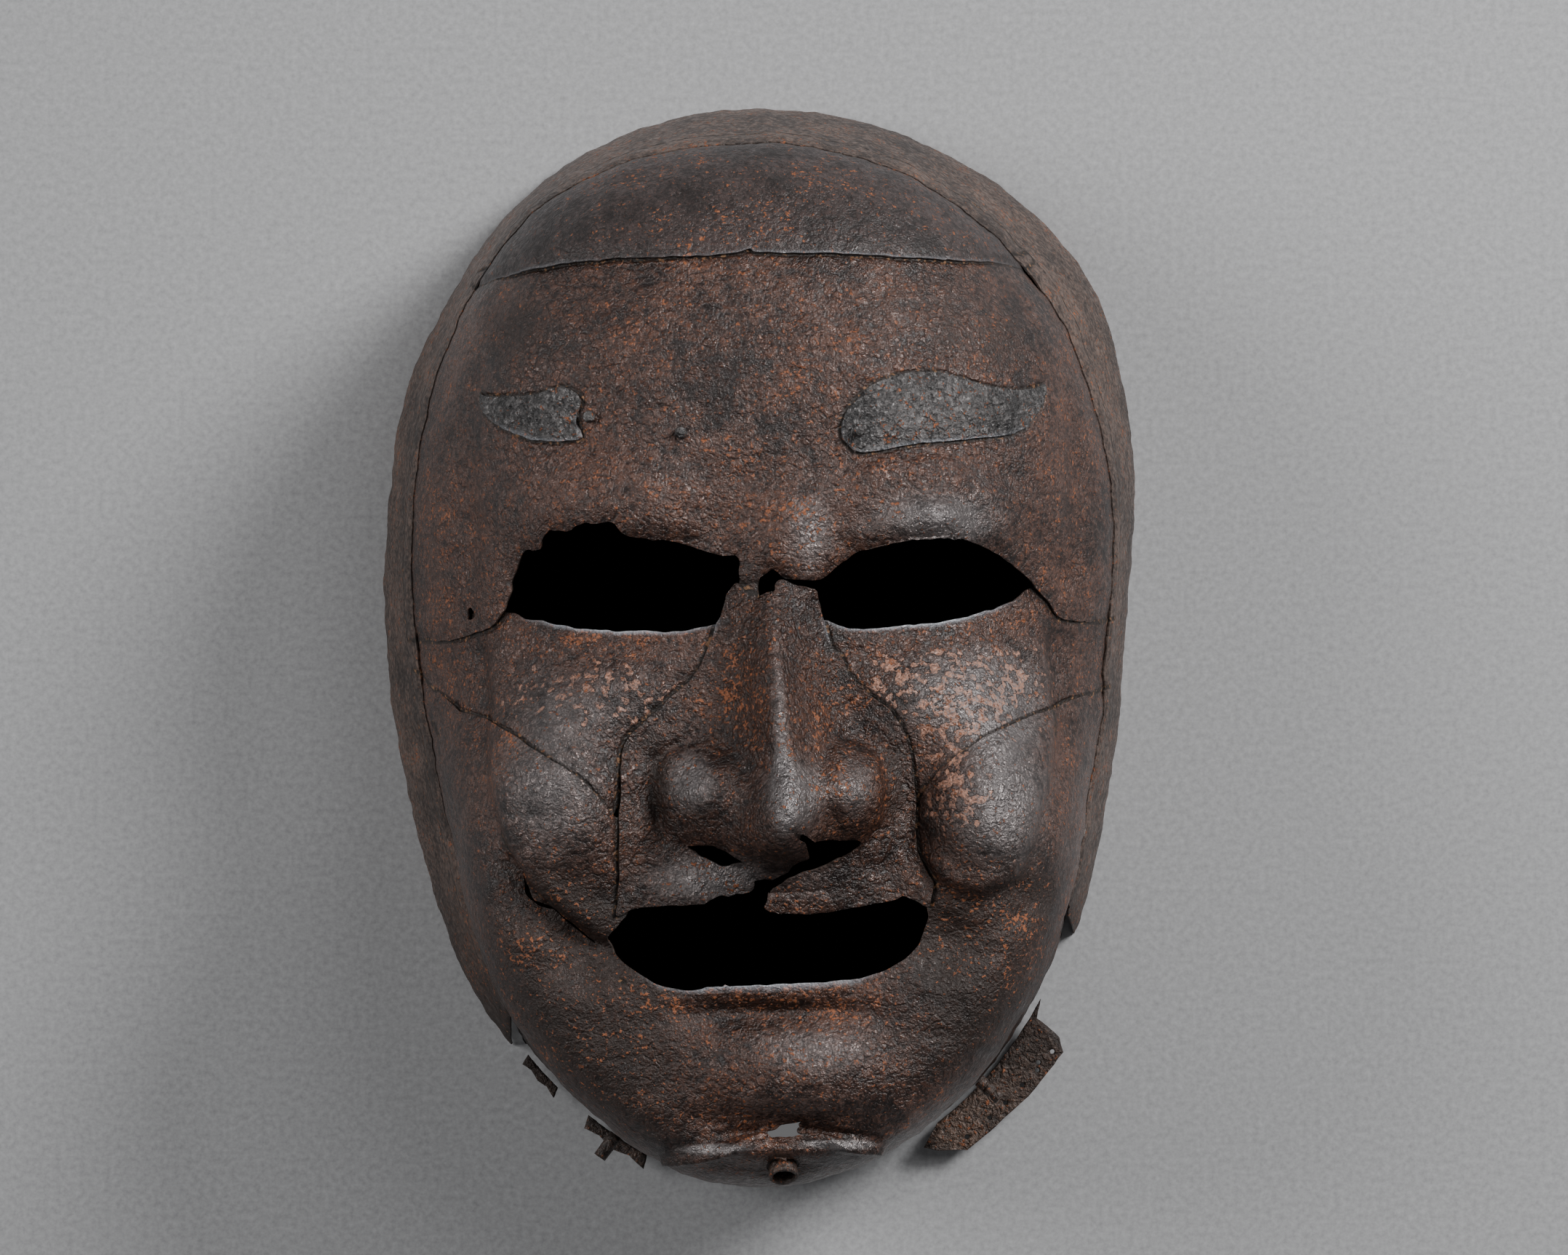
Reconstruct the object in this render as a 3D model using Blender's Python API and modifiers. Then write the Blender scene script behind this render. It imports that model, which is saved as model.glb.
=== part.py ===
"""Iron face guard of the full-face kind, lying on its rear rim with the face up.

Right-handed axes in metres: +X to the viewer's right, +Y to the top of the head, +Z out of the face.
Z = 0 is the plane of the rear rim. Angles in tables are degrees round the face, 0 at +X, 90 at +Y.
Outline tables are shares: across in half widths from the middle, up in half heights from the middle.
"""

import math

import bmesh
import bpy
import numpy as np
from mathutils import Matrix, Vector
from mathutils.geometry import delaunay_2d_cdt

HALF_WIDTH = 0.0860
HALF_HEIGHT = 0.1230
FRONT_DEPTH = 0.0920
NOSE_RISE = 0.0260
SHEET = 0.0011
GAP = 0.00045
LAP = 0.0050
BAND_WIDTH = 0.0400
BAND_LAP = 0.0080
BROW_SHEET = 0.0012
RIVET_RADIUS = 0.0014
SWEAT_BORE = 0.0050
SWEAT_RING_WALL = 0.0006
SWEAT_RING_LENGTH = 0.0030
PEG_RADIUS = 0.0015
PEG_BORE_RADIUS = 0.0008
PEG_LENGTH = 0.0062
PEG_HEIGHT = 0.0230
FLANGE_SHEET = 0.0014
FLANGE_HEIGHT = 0.0050
LACING_HOLE_RADIUS = 0.0006
MESH_SIZE = 0.0052
CROWN_MESH_SIZE = 0.0062
NOSE_MESH_SIZE = 0.0033
BAND_MESH_SIZE = 0.0085
EDGE_STEP = 0.0040
BAND_EDGE_STEP = 0.0088
MERGE_LENGTH = 0.0003
NORMAL_STEP = 0.0010
HOLE_STEPS = 8
RIVET_STEPS = 10
PEG_STEPS = 12
RING_STEPS = 16
FLANGE_STEPS = 9
STUB_STEPS = 5
SHARP_DEGREES = 40

LAYER = SHEET + GAP
BAND_LAYERS = 2.2
CHEEK_SINK = 0.2
WALL_CROWDING = 0.94
# Rear edges, as shares of BAND_WIDTH from the band seam.
JAW_REAR = 0.96
BAND_REAR = 1.06
# Hidden edges of the cheek plates and the jaw plate, as shares of LAP.
CHEEK_FOOT_LAP = 0.6
CHEEK_CORNER_LAP = 0.2
CHEEK_TEMPLE_LAP = 0.3
JAW_NOSE_LAP = 0.6
# Where the rim band ends, in degrees, how far it tapers there, and how far the jaw runs under it.
BAND_LEFT_END = 239.0
BAND_RIGHT_END = 316.5
BAND_TAPER = 3.5
BAND_COVER = 5.0

# Columns: angle, rim and band seam as shares of the ellipse of the half sizes, seam depth as a share of
# FRONT_DEPTH.
RIM = [
    (0, 0.971, 0.930, 0.38),
    (12, 0.998, 0.958, 0.38),
    (24, 1.046, 0.982, 0.38),
    (36, 1.085, 1.000, 0.40),
    (48, 1.112, 1.000, 0.43),
    (60, 1.079, 0.979, 0.46),
    (72, 1.032, 0.948, 0.50),
    (84, 1.005, 0.925, 0.52),
    (96, 1.004, 0.928, 0.52),
    (108, 1.024, 0.962, 0.50),
    (120, 1.043, 0.996, 0.46),
    (132, 1.050, 0.998, 0.43),
    (144, 1.050, 0.985, 0.40),
    (156, 1.026, 0.961, 0.38),
    (168, 1.009, 0.938, 0.38),
    (180, 0.997, 0.918, 0.38),
    (192, 0.986, 0.902, 0.37),
    (204, 0.979, 0.896, 0.36),
    (216, 0.981, 0.904, 0.36),
    (228, 0.991, 0.925, 0.36),
    (240, 0.995, 0.945, 0.38),
    (252, 1.000, 0.960, 0.42),
    (264, 1.015, 0.978, 0.47),
    (276, 1.017, 0.980, 0.47),
    (288, 1.020, 0.980, 0.42),
    (300, 1.020, 0.972, 0.38),
    (312, 1.008, 0.962, 0.36),
    (324, 0.984, 0.949, 0.36),
    (336, 0.969, 0.926, 0.36),
    (348, 0.965, 0.926, 0.37),
]
# How the face rounds back to the band seam: share = (1 - reach ** power) ** (1 / root).
ROUNDING = {"side": (2.6, 1.3), "up": (4.5, 1.6), "down": (24.0, 3.0)}

# Columns: name, across, up, half width, half height, turn in degrees, rise as a share of FRONT_DEPTH.
RELIEF = [
    ("brow_left", -0.40, 0.235, 0.34, 0.125, 4, 0.050),
    ("brow_right", 0.440, 0.225, 0.29, 0.112, -4, 0.070),
    ("between_brows", 0.07, 0.175, 0.17, 0.14, 0, 0.030),
    ("inner_socket_left", -0.17, 0.095, 0.15, 0.075, 0, -0.036),
    ("inner_socket_right", 0.25, 0.095, 0.15, 0.075, 0, -0.036),
    ("upper_cheek_left", -0.50, -0.060, 0.36, 0.14, -14, 0.034),
    ("upper_cheek_right", 0.56, -0.060, 0.36, 0.14, 14, 0.034),
    ("lower_cheek_left", -0.47, -0.270, 0.24, 0.215, 24, 0.080),
    ("lower_cheek_right", 0.575, -0.285, 0.21, 0.215, -14, 0.080),
    ("under_cheek_left", -0.54, -0.460, 0.20, 0.060, -38, -0.018),
    ("under_cheek_right", 0.67, -0.435, 0.17, 0.065, 24, -0.026),
    ("outer_socket_right", 0.72, 0.130, 0.10, 0.110, 20, -0.016),
    ("fold_left", -0.29, -0.36, 0.16, 0.16, 12, -0.022),
    ("fold_right", 0.37, -0.36, 0.16, 0.16, -12, -0.022),
    ("upper_lip", 0.03, -0.425, 0.36, 0.085, 0, 0.030),
    ("mouth_corner_left", -0.42, -0.53, 0.15, 0.09, 0, -0.030),
    ("mouth_corner_right", 0.47, -0.51, 0.15, 0.09, 0, -0.030),
    ("lower_lip", 0.03, -0.585, 0.36, 0.042, 0, 0.016),
    ("lip_hollow", 0.03, -0.634, 0.36, 0.046, 0, -0.024),
    ("chin_ball", 0.10, -0.735, 0.32, 0.125, 0, 0.058),
    ("chin_hollow", 0.05, -0.815, 0.36, 0.055, 0, -0.024),
    ("chin_crease", 0.03, -0.868, 0.40, 0.032, 0, 0.026),
    ("temple_left", -0.74, 0.22, 0.11, 0.26, 0, -0.020),
    ("temple_right", 0.80, 0.24, 0.11, 0.26, 0, -0.020),
    ("nose_tip", 0.055, -0.285, 0.150, 0.090, 0, 0.056),
    ("nose_wing_left", -0.130, -0.245, 0.130, 0.100, 0, 0.086),
    ("nose_wing_right", 0.238, -0.240, 0.124, 0.098, 0, 0.086),
]
# Columns: up, middle and half width across, height as a share of NOSE_RISE.
NOSE = [
    (0.110, 0.030, 0.07, 0.00),
    (0.040, 0.036, 0.12, 0.22),
    (-0.045, 0.042, 0.14, 0.44),
    (-0.125, 0.056, 0.18, 0.62),
    (-0.205, 0.072, 0.24, 0.76),
    (-0.270, 0.076, 0.29, 0.80),
    (-0.325, 0.066, 0.30, 0.66),
    (-0.375, 0.058, 0.28, 0.22),
    (-0.415, 0.050, 0.26, 0.00),
]
NOSE_FLANK_POWER = 1.7
NOSE_RIDGE_RADIUS = 0.0012

CROWN_SEAM = [
    (-0.721, 0.641), (-0.603, 0.658), (-0.429, 0.672), (-0.234, 0.675), (-0.060, 0.680), (-0.018, 0.689),
    (-0.011, 0.683), (0.141, 0.682), (0.395, 0.675), (0.568, 0.679), (0.682, 0.674),
]
TEMPLE_SEAM_LEFT = [
    (-0.897, 0.012), (-0.838, 0.009), (-0.768, 0.012), (-0.718, 0.020), (-0.683, 0.029), (-0.656, 0.040),
]
TEMPLE_SEAM_RIGHT = [
    (0.700, 0.097), (0.727, 0.077), (0.747, 0.055), (0.773, 0.047), (0.868, 0.043), (0.914, 0.052),
]
EYE_TOP_LEFT = [
    (-0.622, 0.063), (-0.615, 0.090), (-0.607, 0.119), (-0.595, 0.143), (-0.577, 0.167), (-0.535, 0.172),
    (-0.528, 0.192), (-0.508, 0.202), (-0.481, 0.198), (-0.432, 0.215), (-0.384, 0.218), (-0.350, 0.213),
    (-0.328, 0.201), (-0.270, 0.189), (-0.184, 0.178), (-0.128, 0.167), (-0.086, 0.157), (-0.052, 0.158),
    (-0.038, 0.143), (-0.043, 0.119),
]
EYE_BOTTOM_LEFT = [
    (-0.604, 0.053), (-0.535, 0.045), (-0.508, 0.039), (-0.452, 0.032), (-0.357, 0.027), (-0.267, 0.027),
    (-0.191, 0.028), (-0.128, 0.039),
]
EYE_TOP_RIGHT = [
    (0.150, 0.118), (0.186, 0.138), (0.224, 0.158), (0.254, 0.169), (0.318, 0.181), (0.381, 0.189),
    (0.444, 0.192), (0.501, 0.189), (0.552, 0.178), (0.602, 0.158), (0.647, 0.134), (0.676, 0.116),
]
EYE_BOTTOM_RIGHT = [
    (0.166, 0.049), (0.199, 0.038), (0.229, 0.033), (0.287, 0.031), (0.368, 0.037), (0.456, 0.043),
    (0.552, 0.058), (0.602, 0.067), (0.647, 0.081), (0.673, 0.097),
]
ROOT_BREAK_TOP = [
    (-0.030, 0.080), (0.000, 0.084), (0.000, 0.110), (0.033, 0.139), (0.058, 0.121), (0.110, 0.118),
]
ROOT_BREAK_BOTTOM = [
    (0.144, 0.087), (0.140, 0.101), (0.103, 0.107), (0.053, 0.122), (0.035, 0.092), (0.006, 0.084),
]
NOSE_TOP_LEFT = [(-0.020, 0.098), (-0.046, 0.113), (-0.062, 0.092), (-0.085, 0.062)]
CHEEK_SEAM_LEFT = [
    (-0.878, -0.041), (-0.851, -0.065), (-0.787, -0.094), (-0.752, -0.115), (-0.690, -0.124),
    (-0.595, -0.154), (-0.488, -0.205), (-0.431, -0.230), (-0.396, -0.256), (-0.358, -0.292),
]
CHEEK_SEAM_RIGHT = [
    (0.401, -0.273), (0.410, -0.253), (0.448, -0.217), (0.501, -0.185), (0.558, -0.158), (0.622, -0.137),
    (0.685, -0.120), (0.762, -0.105), (0.813, -0.091), (0.892, -0.072),
]
NOSE_SEAM_LEFT = [
    (-0.100, 0.039), (-0.120, -0.001), (-0.142, -0.035), (-0.178, -0.065), (-0.225, -0.093),
    (-0.279, -0.127), (-0.315, -0.149), (-0.334, -0.172), (-0.342, -0.211), (-0.338, -0.250),
    (-0.349, -0.293), (-0.352, -0.375), (-0.354, -0.460),
]
NOSE_SEAM_RIGHT = [
    (0.168, 0.027), (0.186, -0.008), (0.204, -0.015), (0.225, -0.052), (0.281, -0.085), (0.330, -0.109),
    (0.358, -0.139), (0.371, -0.167), (0.387, -0.235), (0.393, -0.270), (0.396, -0.314), (0.403, -0.351),
    (0.420, -0.381), (0.445, -0.407),
]
NOSTRIL_LEFT = [
    (-0.168, -0.334), (-0.127, -0.332), (-0.106, -0.327), (-0.070, -0.340), (-0.011, -0.369),
    (-0.065, -0.374), (-0.127, -0.360),
]
LIP_LEFT = [
    (-0.327, -0.458), (-0.285, -0.449), (-0.217, -0.445), (-0.134, -0.444), (-0.093, -0.429),
    (-0.034, -0.428),
]
LIP_SPLIT = [
    (-0.008, -0.408), (-0.003, -0.392), (0.058, -0.387), (0.092, -0.359), (0.122, -0.344), (0.088, -0.311),
    (0.104, -0.309), (0.129, -0.327), (0.197, -0.317), (0.249, -0.323), (0.224, -0.344), (0.147, -0.367),
    (0.078, -0.388), (0.044, -0.406), (0.020, -0.425), (0.013, -0.444),
]
LIP_RIGHT = [
    (0.028, -0.451), (0.078, -0.456), (0.173, -0.453), (0.266, -0.442), (0.342, -0.438), (0.354, -0.430),
    (0.392, -0.439), (0.425, -0.448),
]
MOUTH_BOTTOM = [
    (-0.368, -0.494), (-0.361, -0.518), (-0.334, -0.542), (-0.285, -0.566), (-0.244, -0.584),
    (-0.183, -0.590), (-0.080, -0.586), (0.009, -0.585), (0.105, -0.581), (0.248, -0.574),
    (0.311, -0.559), (0.362, -0.538), (0.392, -0.517), (0.408, -0.491), (0.421, -0.465),
]
JAW_TEAR = [
    (-0.596, -0.369), (-0.577, -0.410), (-0.547, -0.434), (-0.505, -0.445), (-0.463, -0.468),
    (-0.429, -0.493), (-0.399, -0.508), (-0.402, -0.516), (-0.434, -0.504), (-0.470, -0.481),
    (-0.508, -0.456), (-0.552, -0.446), (-0.588, -0.420),
]
CHIN_BREAK = [
    (0.033, -0.832), (0.062, -0.819), (0.110, -0.814), (0.099, -0.824), (0.108, -0.835), (0.130, -0.844),
    (0.103, -0.849), (0.053, -0.851), (0.027, -0.848),
]
TEMPLE_SLOT = [(-0.730, 0.046), (-0.712, 0.046), (-0.708, 0.060), (-0.716, 0.071), (-0.728, 0.066)]
SWEAT_HOLE = (0.062, -0.896)
BROW_STUB_LEFT = [
    (-0.690, 0.446), (-0.668, 0.436), (-0.619, 0.435), (-0.536, 0.437), (-0.482, 0.450), (-0.442, 0.435),
    (-0.433, 0.421), (-0.442, 0.397), (-0.437, 0.380), (-0.426, 0.359), (-0.495, 0.354), (-0.551, 0.359),
    (-0.634, 0.383), (-0.675, 0.409),
]
BROW_RIGHT = [
    (0.204, 0.384), (0.208, 0.361), (0.236, 0.334), (0.287, 0.336), (0.393, 0.350), (0.559, 0.362),
    (0.622, 0.370), (0.660, 0.381), (0.673, 0.400), (0.703, 0.426), (0.716, 0.462), (0.678, 0.450),
    (0.635, 0.444), (0.584, 0.448), (0.539, 0.454), (0.456, 0.472), (0.368, 0.472), (0.318, 0.463),
    (0.267, 0.444), (0.224, 0.413),
]
# Columns: name, across, up, what its head lies on.
RIVETS = [
    ("brow_rivet_left", -0.409, 0.396, "forehead"),
    ("brow_rivet_middle", -0.187, 0.368, "forehead"),
    ("brow_rivet_right", 0.245, 0.370, "brow"),
]
# Columns: radius and height, as shares of RIVET_RADIUS.
RIVET_PROFILE = [(0.0, 0.0), (1.0, 0.0), (1.0, 0.35), (0.72, 0.80), (0.0, 1.0)]
# Columns: across, up. The inner edge follows the jaw wall.
FLANGE_OUTER = [
    (0.735, -0.690), (0.765, -0.706), (0.796, -0.726), (0.804, -0.753), (0.755, -0.799), (0.713, -0.834),
    (0.628, -0.889), (0.551, -0.934), (0.474, -0.935), (0.436, -0.930),
]
FLANGE_ANGLES = (308.5, 290.5)
LACING_HOLES = [
    (0.776, -0.752), (0.739, -0.772), (0.736, -0.786), (0.696, -0.814), (0.651, -0.847), (0.609, -0.874),
    (0.549, -0.910),
]
# Columns: name, first and last angle, how far it stands out of the jaw as a share of LAP.
FLANGE_STUBS = [
    ("throat_flange_stub_left", 250.0, 257.5, 0.62),
    ("throat_flange_stub_side", 240.5, 245.5, 0.48),
]
# A stub's broken edge falls back at every other point, as a share of its reach.
STUB_NOTCH = 0.3
# Columns: name, angle round the jaw, surface.
PEGS = [("cord_peg_left", 254.0, "plain"), ("cord_peg_right", 296.5, "grooved")]
PEG_GROOVE_STEPS = 2
# A groove's half width and the bore's depth as shares of PEG_LENGTH, its floor as a share of PEG_RADIUS.
GROOVE_HALF = 0.09
GROOVE_FLOOR = 0.8
PEG_BORE_DEPTH = 0.45


def blend(low, high, value):
    """0 below low, 1 above high, smooth between."""
    t = np.clip((value - low) / (high - low), 0.0, 1.0)
    return t * t * (3.0 - 2.0 * t)


def curve(places, values, wanted):
    """A smooth line through the rows of a table, by cubic Hermite pieces."""
    places = np.asarray(places, float)
    values = np.asarray(values, float)
    steps = np.diff(values) / np.diff(places)
    slopes = np.concatenate([[steps[0]], (steps[:-1] + steps[1:]) / 2, [steps[-1]]])
    wanted = np.clip(wanted, places[0], places[-1])
    row = np.clip(np.searchsorted(places, wanted) - 1, 0, len(places) - 2)
    width = places[row + 1] - places[row]
    t = (wanted - places[row]) / width
    rise = values[row] * (1 + 2 * t) * (1 - t) ** 2 + values[row + 1] * t * t * (3 - 2 * t)
    return rise + width * (slopes[row] * t * (1 - t) ** 2 - slopes[row + 1] * t * t * (1 - t))


def round_curve(column, angle):
    """A column of RIM, read as a smooth closed line."""
    rows = RIM[-2:] + RIM + RIM[:3]
    turns = [-360] * 2 + [0] * len(RIM) + [360] * 3
    places = [row[0] + turn for row, turn in zip(rows, turns)]
    return curve(places, [row[column] for row in rows], np.degrees(angle) % 360.0)


def ellipse_radius(angle):
    return 1.0 / np.hypot(np.cos(angle) / HALF_WIDTH, np.sin(angle) / HALF_HEIGHT)


def seam_radius(angle):
    return round_curve(2, angle) * ellipse_radius(angle) - BAND_LAYERS * LAYER


def rim_radius(angle):
    return round_curve(1, angle) * ellipse_radius(angle) - BAND_LAYERS * LAYER


def nose_height(x, y):
    up = [row[0] * HALF_HEIGHT for row in NOSE][::-1]
    middle = curve(up, [row[1] * HALF_WIDTH for row in NOSE][::-1], y)
    half = curve(up, [row[2] * HALF_WIDTH for row in NOSE][::-1], y)
    rise = curve(up, [row[3] * NOSE_RISE for row in NOSE][::-1], y)
    from_ridge = np.hypot(x - middle, NOSE_RIDGE_RADIUS) - NOSE_RIDGE_RADIUS
    flank = np.clip(1.0 - from_ridge / half, 0.0, 1.0)
    return np.maximum(rise, 0.0) * flank**NOSE_FLANK_POWER


def relief_height(x, y):
    total = nose_height(x, y)
    for _, across, up, half_across, half_up, turn, rise in RELIEF:
        dx = x - across * HALF_WIDTH
        dy = y - up * HALF_HEIGHT
        c = math.cos(math.radians(turn))
        s = math.sin(math.radians(turn))
        along = (dx * c + dy * s) / (half_across * HALF_WIDTH)
        over = (dy * c - dx * s) / (half_up * HALF_HEIGHT)
        inside = np.clip(1.0 - along * along - over * over, 0.0, 1.0)
        total = total + rise * FRONT_DEPTH * inside * inside
    return total


def surface_height(x, y):
    """Height of the bare face surface over a place, out to the rear rim."""
    angle = np.arctan2(y, x)
    radius = np.hypot(x, y)
    seam = seam_radius(angle)
    seam_height = round_curve(3, angle) * FRONT_DEPTH
    side = np.cos(angle) ** 2
    up = np.sin(angle) ** 2 * (np.sin(angle) > 0)
    down = np.sin(angle) ** 2 * (np.sin(angle) <= 0)
    weights = {"side": side, "up": up, "down": down}
    power = sum(weights[key] * ROUNDING[key][0] for key in ROUNDING)
    root = sum(weights[key] * ROUNDING[key][1] for key in ROUNDING)
    reach = np.clip(radius / seam, 0.0, 1.0)
    share = (1.0 - reach**power) ** (1.0 / root)
    face = seam_height + (FRONT_DEPTH - seam_height) * share
    face = face + relief_height(x, y) * (1.0 - blend(0.90, 1.0, reach))
    along_band = np.maximum(radius - seam, 0.0) / (rim_radius(angle) - seam)
    return np.where(radius <= seam, face, seam_height * (1.0 - along_band))


def surface_normal(x, y):
    step = NORMAL_STEP
    across = (surface_height(x + step, y) - surface_height(x - step, y)) / (2 * step)
    up = (surface_height(x, y + step) - surface_height(x, y - step)) / (2 * step)
    normal = np.stack([-across, -up, np.ones_like(across)], axis=-1)
    return normal / np.linalg.norm(normal, axis=-1, keepdims=True)


def unroll(x, y):
    """Place on the flat pattern of the face, where the steep walls are laid out wide."""
    angle = np.arctan2(y, x)
    radius = np.hypot(x, y)
    seam = seam_radius(angle)
    half_turn = WALL_CROWDING * math.pi / 2
    inner = np.arcsin(np.clip(radius / seam, 0.0, 1.0) * math.sin(half_turn)) / half_turn * seam
    outer = seam + np.maximum(radius - seam, 0.0) / (rim_radius(angle) - seam) * BAND_WIDTH
    pattern = np.where(radius <= seam, inner, outer)
    return np.stack([pattern * np.cos(angle), pattern * np.sin(angle)], axis=-1)


def roll_up(points):
    """Place in plan of points on the flat pattern."""
    points = np.asarray(points, float)
    angle = np.arctan2(points[:, 1], points[:, 0])
    pattern = np.hypot(points[:, 0], points[:, 1])
    seam = seam_radius(angle)
    half_turn = WALL_CROWDING * math.pi / 2
    inner = np.sin(np.clip(pattern / seam, 0.0, 1.0) * half_turn) / math.sin(half_turn) * seam
    outer = seam + (pattern - seam) / BAND_WIDTH * (rim_radius(angle) - seam)
    radius = np.where(pattern <= seam, inner, outer)
    return radius * np.cos(angle), radius * np.sin(angle)


def placed(points, lift):
    """Points of the pattern on the face surface, raised by lift layers along its normal."""
    x, y = roll_up(points)
    base = np.stack([x, y, surface_height(x, y)], axis=-1)
    return base + surface_normal(x, y) * (lift(x, y) * LAYER)[:, None]


def forehead_lift(x, y):
    return 1.0 - blend(0.50 * HALF_HEIGHT, 0.62 * HALF_HEIGHT, y)


def level(layers):
    return lambda x, y: np.full_like(x, layers)


def smooth_line(points):
    """A Catmull-Rom line through points of the pattern, with corners at its two ends."""
    points = [Vector(point).to_2d() for point in points]
    ends = [2 * points[0] - points[1]] + points + [2 * points[-1] - points[-2]]
    line = []
    for before, start, stop, after in zip(ends, ends[1:], ends[2:], ends[3:]):
        count = max(1, round((stop - start).length / EDGE_STEP))
        for n in range(count):
            t = n / count
            turn_in = (stop - before) / 2
            turn_out = (after - start) / 2
            line.append(
                start * (1 + 2 * t) * (1 - t) ** 2
                + stop * t * t * (3 - 2 * t)
                + turn_in * t * (1 - t) ** 2
                - turn_out * t * t * (1 - t)
            )
    return line + [points[-1]]


def shares_to_pattern(rows):
    """Rows of shares on the pattern, none of them far under the band."""
    rows = np.asarray(rows, float)
    places = unroll(rows[:, 0] * HALF_WIDTH, rows[:, 1] * HALF_HEIGHT)
    furthest = seam_radius(np.arctan2(places[:, 1], places[:, 0])) + BAND_LAP / 2
    share = np.minimum(furthest / np.hypot(places[:, 0], places[:, 1]), 1.0)
    return [tuple(place) for place in places * share[:, None]]


def moved(rows, across=0.0, up=0.0):
    """A table of shares moved by real lengths, for an edge that is lapped by another plate."""
    return [(a + across / HALF_WIDTH, u + up / HALF_HEIGHT) for a, u in rows]


def line_of(rows):
    return smooth_line(shares_to_pattern(rows))


def closed_line_of(rows):
    return line_of(rows + rows[:1])


def band_arc(first, last, reach):
    """Points round the pattern from one angle to the other, reach beyond the band seam."""
    count = max(2, math.ceil(math.radians(abs(last - first)) * HALF_HEIGHT / BAND_EDGE_STEP))
    angles = np.radians(np.linspace(first, last, count + 1))
    radius = seam_radius(angles) + reach
    return [Vector((r * math.cos(a), r * math.sin(a))) for r, a in zip(radius, angles)]


def angle_of(row):
    point = shares_to_pattern([row])[0]
    return math.degrees(math.atan2(point[1], point[0])) % 360.0


def without_doubles(line):
    kept = []
    for point in line:
        if not kept or (Vector(point) - kept[-1]).length > MERGE_LENGTH:
            kept.append(Vector(point))
    if (kept[0] - kept[-1]).length < MERGE_LENGTH:
        kept.pop()
    return kept


def inside(points, loop):
    """Which points lie inside a closed loop."""
    x = points[:, 0]
    y = points[:, 1]
    found = np.zeros(len(points), bool)
    for (x0, y0), (x1, y1) in zip(loop, loop[1:] + loop[:1]):
        if y0 == y1:
            continue
        crosses = (y0 > y) != (y1 > y)
        found ^= crosses & (x < (x1 - x0) * (y - y0) / (y1 - y0) + x0)
    return found


def edge_distance(points, loop):
    nearest = np.full(len(points), np.inf)
    for start, stop in zip(loop, loop[1:] + loop[:1]):
        along = np.array(stop - start)
        offset = points - np.array(start)
        t = np.clip(offset @ along / max(along @ along, 1e-12), 0.0, 1.0)
        nearest = np.minimum(nearest, np.linalg.norm(offset - t[:, None] * along, axis=1))
    return nearest


def lattice(loop, size):
    """Rows of points over the box of a loop, each row set half a step off the last."""
    low = np.min(np.array(loop), axis=0)
    high = np.max(np.array(loop), axis=0)
    rise = size * math.sqrt(3) / 2
    rows = []
    for n in range(math.floor(low[1] / rise), math.ceil(high[1] / rise) + 1):
        start = math.floor(low[0] / size) + 0.5 * (n % 2)
        xs = np.arange(start, high[0] / size + 1) * size
        rows.append(np.stack([xs, np.full_like(xs, n * rise)], axis=-1))
    return np.concatenate(rows)


def make_material(name, colour, roughness, metallic):
    material = bpy.data.materials.new(name)
    material.use_nodes = True
    shader = material.node_tree.nodes["Principled BSDF"]
    shader.inputs["Base Color"].default_value = (*colour, 1.0)
    shader.inputs["Roughness"].default_value = roughness
    shader.inputs["Metallic"].default_value = metallic
    return material


def add_object(name, mesh, material):
    obj = bpy.data.objects.new(name, mesh)
    mesh.materials.append(material)
    COLLECTION.objects.link(obj)
    return obj


def add_plate(name, outline, holes, lift, material, size=MESH_SIZE, sheet=SHEET):
    """A plate of sheet iron: a flat pattern cut to its outline, then laid on the face surface."""
    loops = [without_doubles(loop) for loop in [outline] + holes]
    grid = lattice(loops[0], size)
    keep = inside(grid, loops[0])
    for loop in loops[1:]:
        keep &= ~inside(grid, loop)
    for loop in loops:
        keep &= edge_distance(grid, loop) > size / 2
    points = [point for loop in loops for point in loop] + [Vector(p) for p in grid[keep]]
    edges = []
    start = 0
    for loop in loops:
        edges += [(start + n, start + (n + 1) % len(loop)) for n in range(len(loop))]
        start += len(loop)
    found, _, faces, _, _, _ = delaunay_2d_cdt(points, edges, [], 0, 1e-7)
    found = np.array([tuple(p) for p in found])
    middles = np.array([found[list(face)].mean(axis=0) for face in faces])
    solid = inside(middles, loops[0])
    for loop in loops[1:]:
        solid &= ~inside(middles, loop)
    shape = bmesh.new()
    corners = [shape.verts.new(place) for place in placed(found, lift)]
    for face, wanted in zip(faces, solid):
        if wanted:
            shape.faces.new([corners[n] for n in face])
    bmesh.ops.delete(shape, geom=[v for v in shape.verts if not v.link_faces], context="VERTS")
    mesh = bpy.data.meshes.new(name)
    shape.to_mesh(mesh)
    shape.free()
    plate = add_object(name, mesh, material)
    solidify = plate.modifiers.new("thickness", "SOLIDIFY")
    solidify.thickness = sheet
    solidify.offset = -1.0
    solidify.use_even_offset = True
    mesh.shade_smooth()
    mesh.set_sharp_from_angle(angle=math.radians(SHARP_DEGREES))
    return plate


def round_turns(count):
    return [2 * math.pi * n / count for n in range(count)]


def circle(centre, radius):
    """A round hole square to the face surface, its centre given in shares, as a loop on the pattern."""
    middle, normal = spot_on_face(centre, 0)
    first = normal.orthogonal().normalized()
    second = normal.cross(first)
    rim = [middle + radius * (math.cos(t) * first + math.sin(t) * second) for t in round_turns(RING_STEPS)]
    return [Vector(p) for p in unroll(np.array([p.x for p in rim]), np.array([p.y for p in rim]))]


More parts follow.
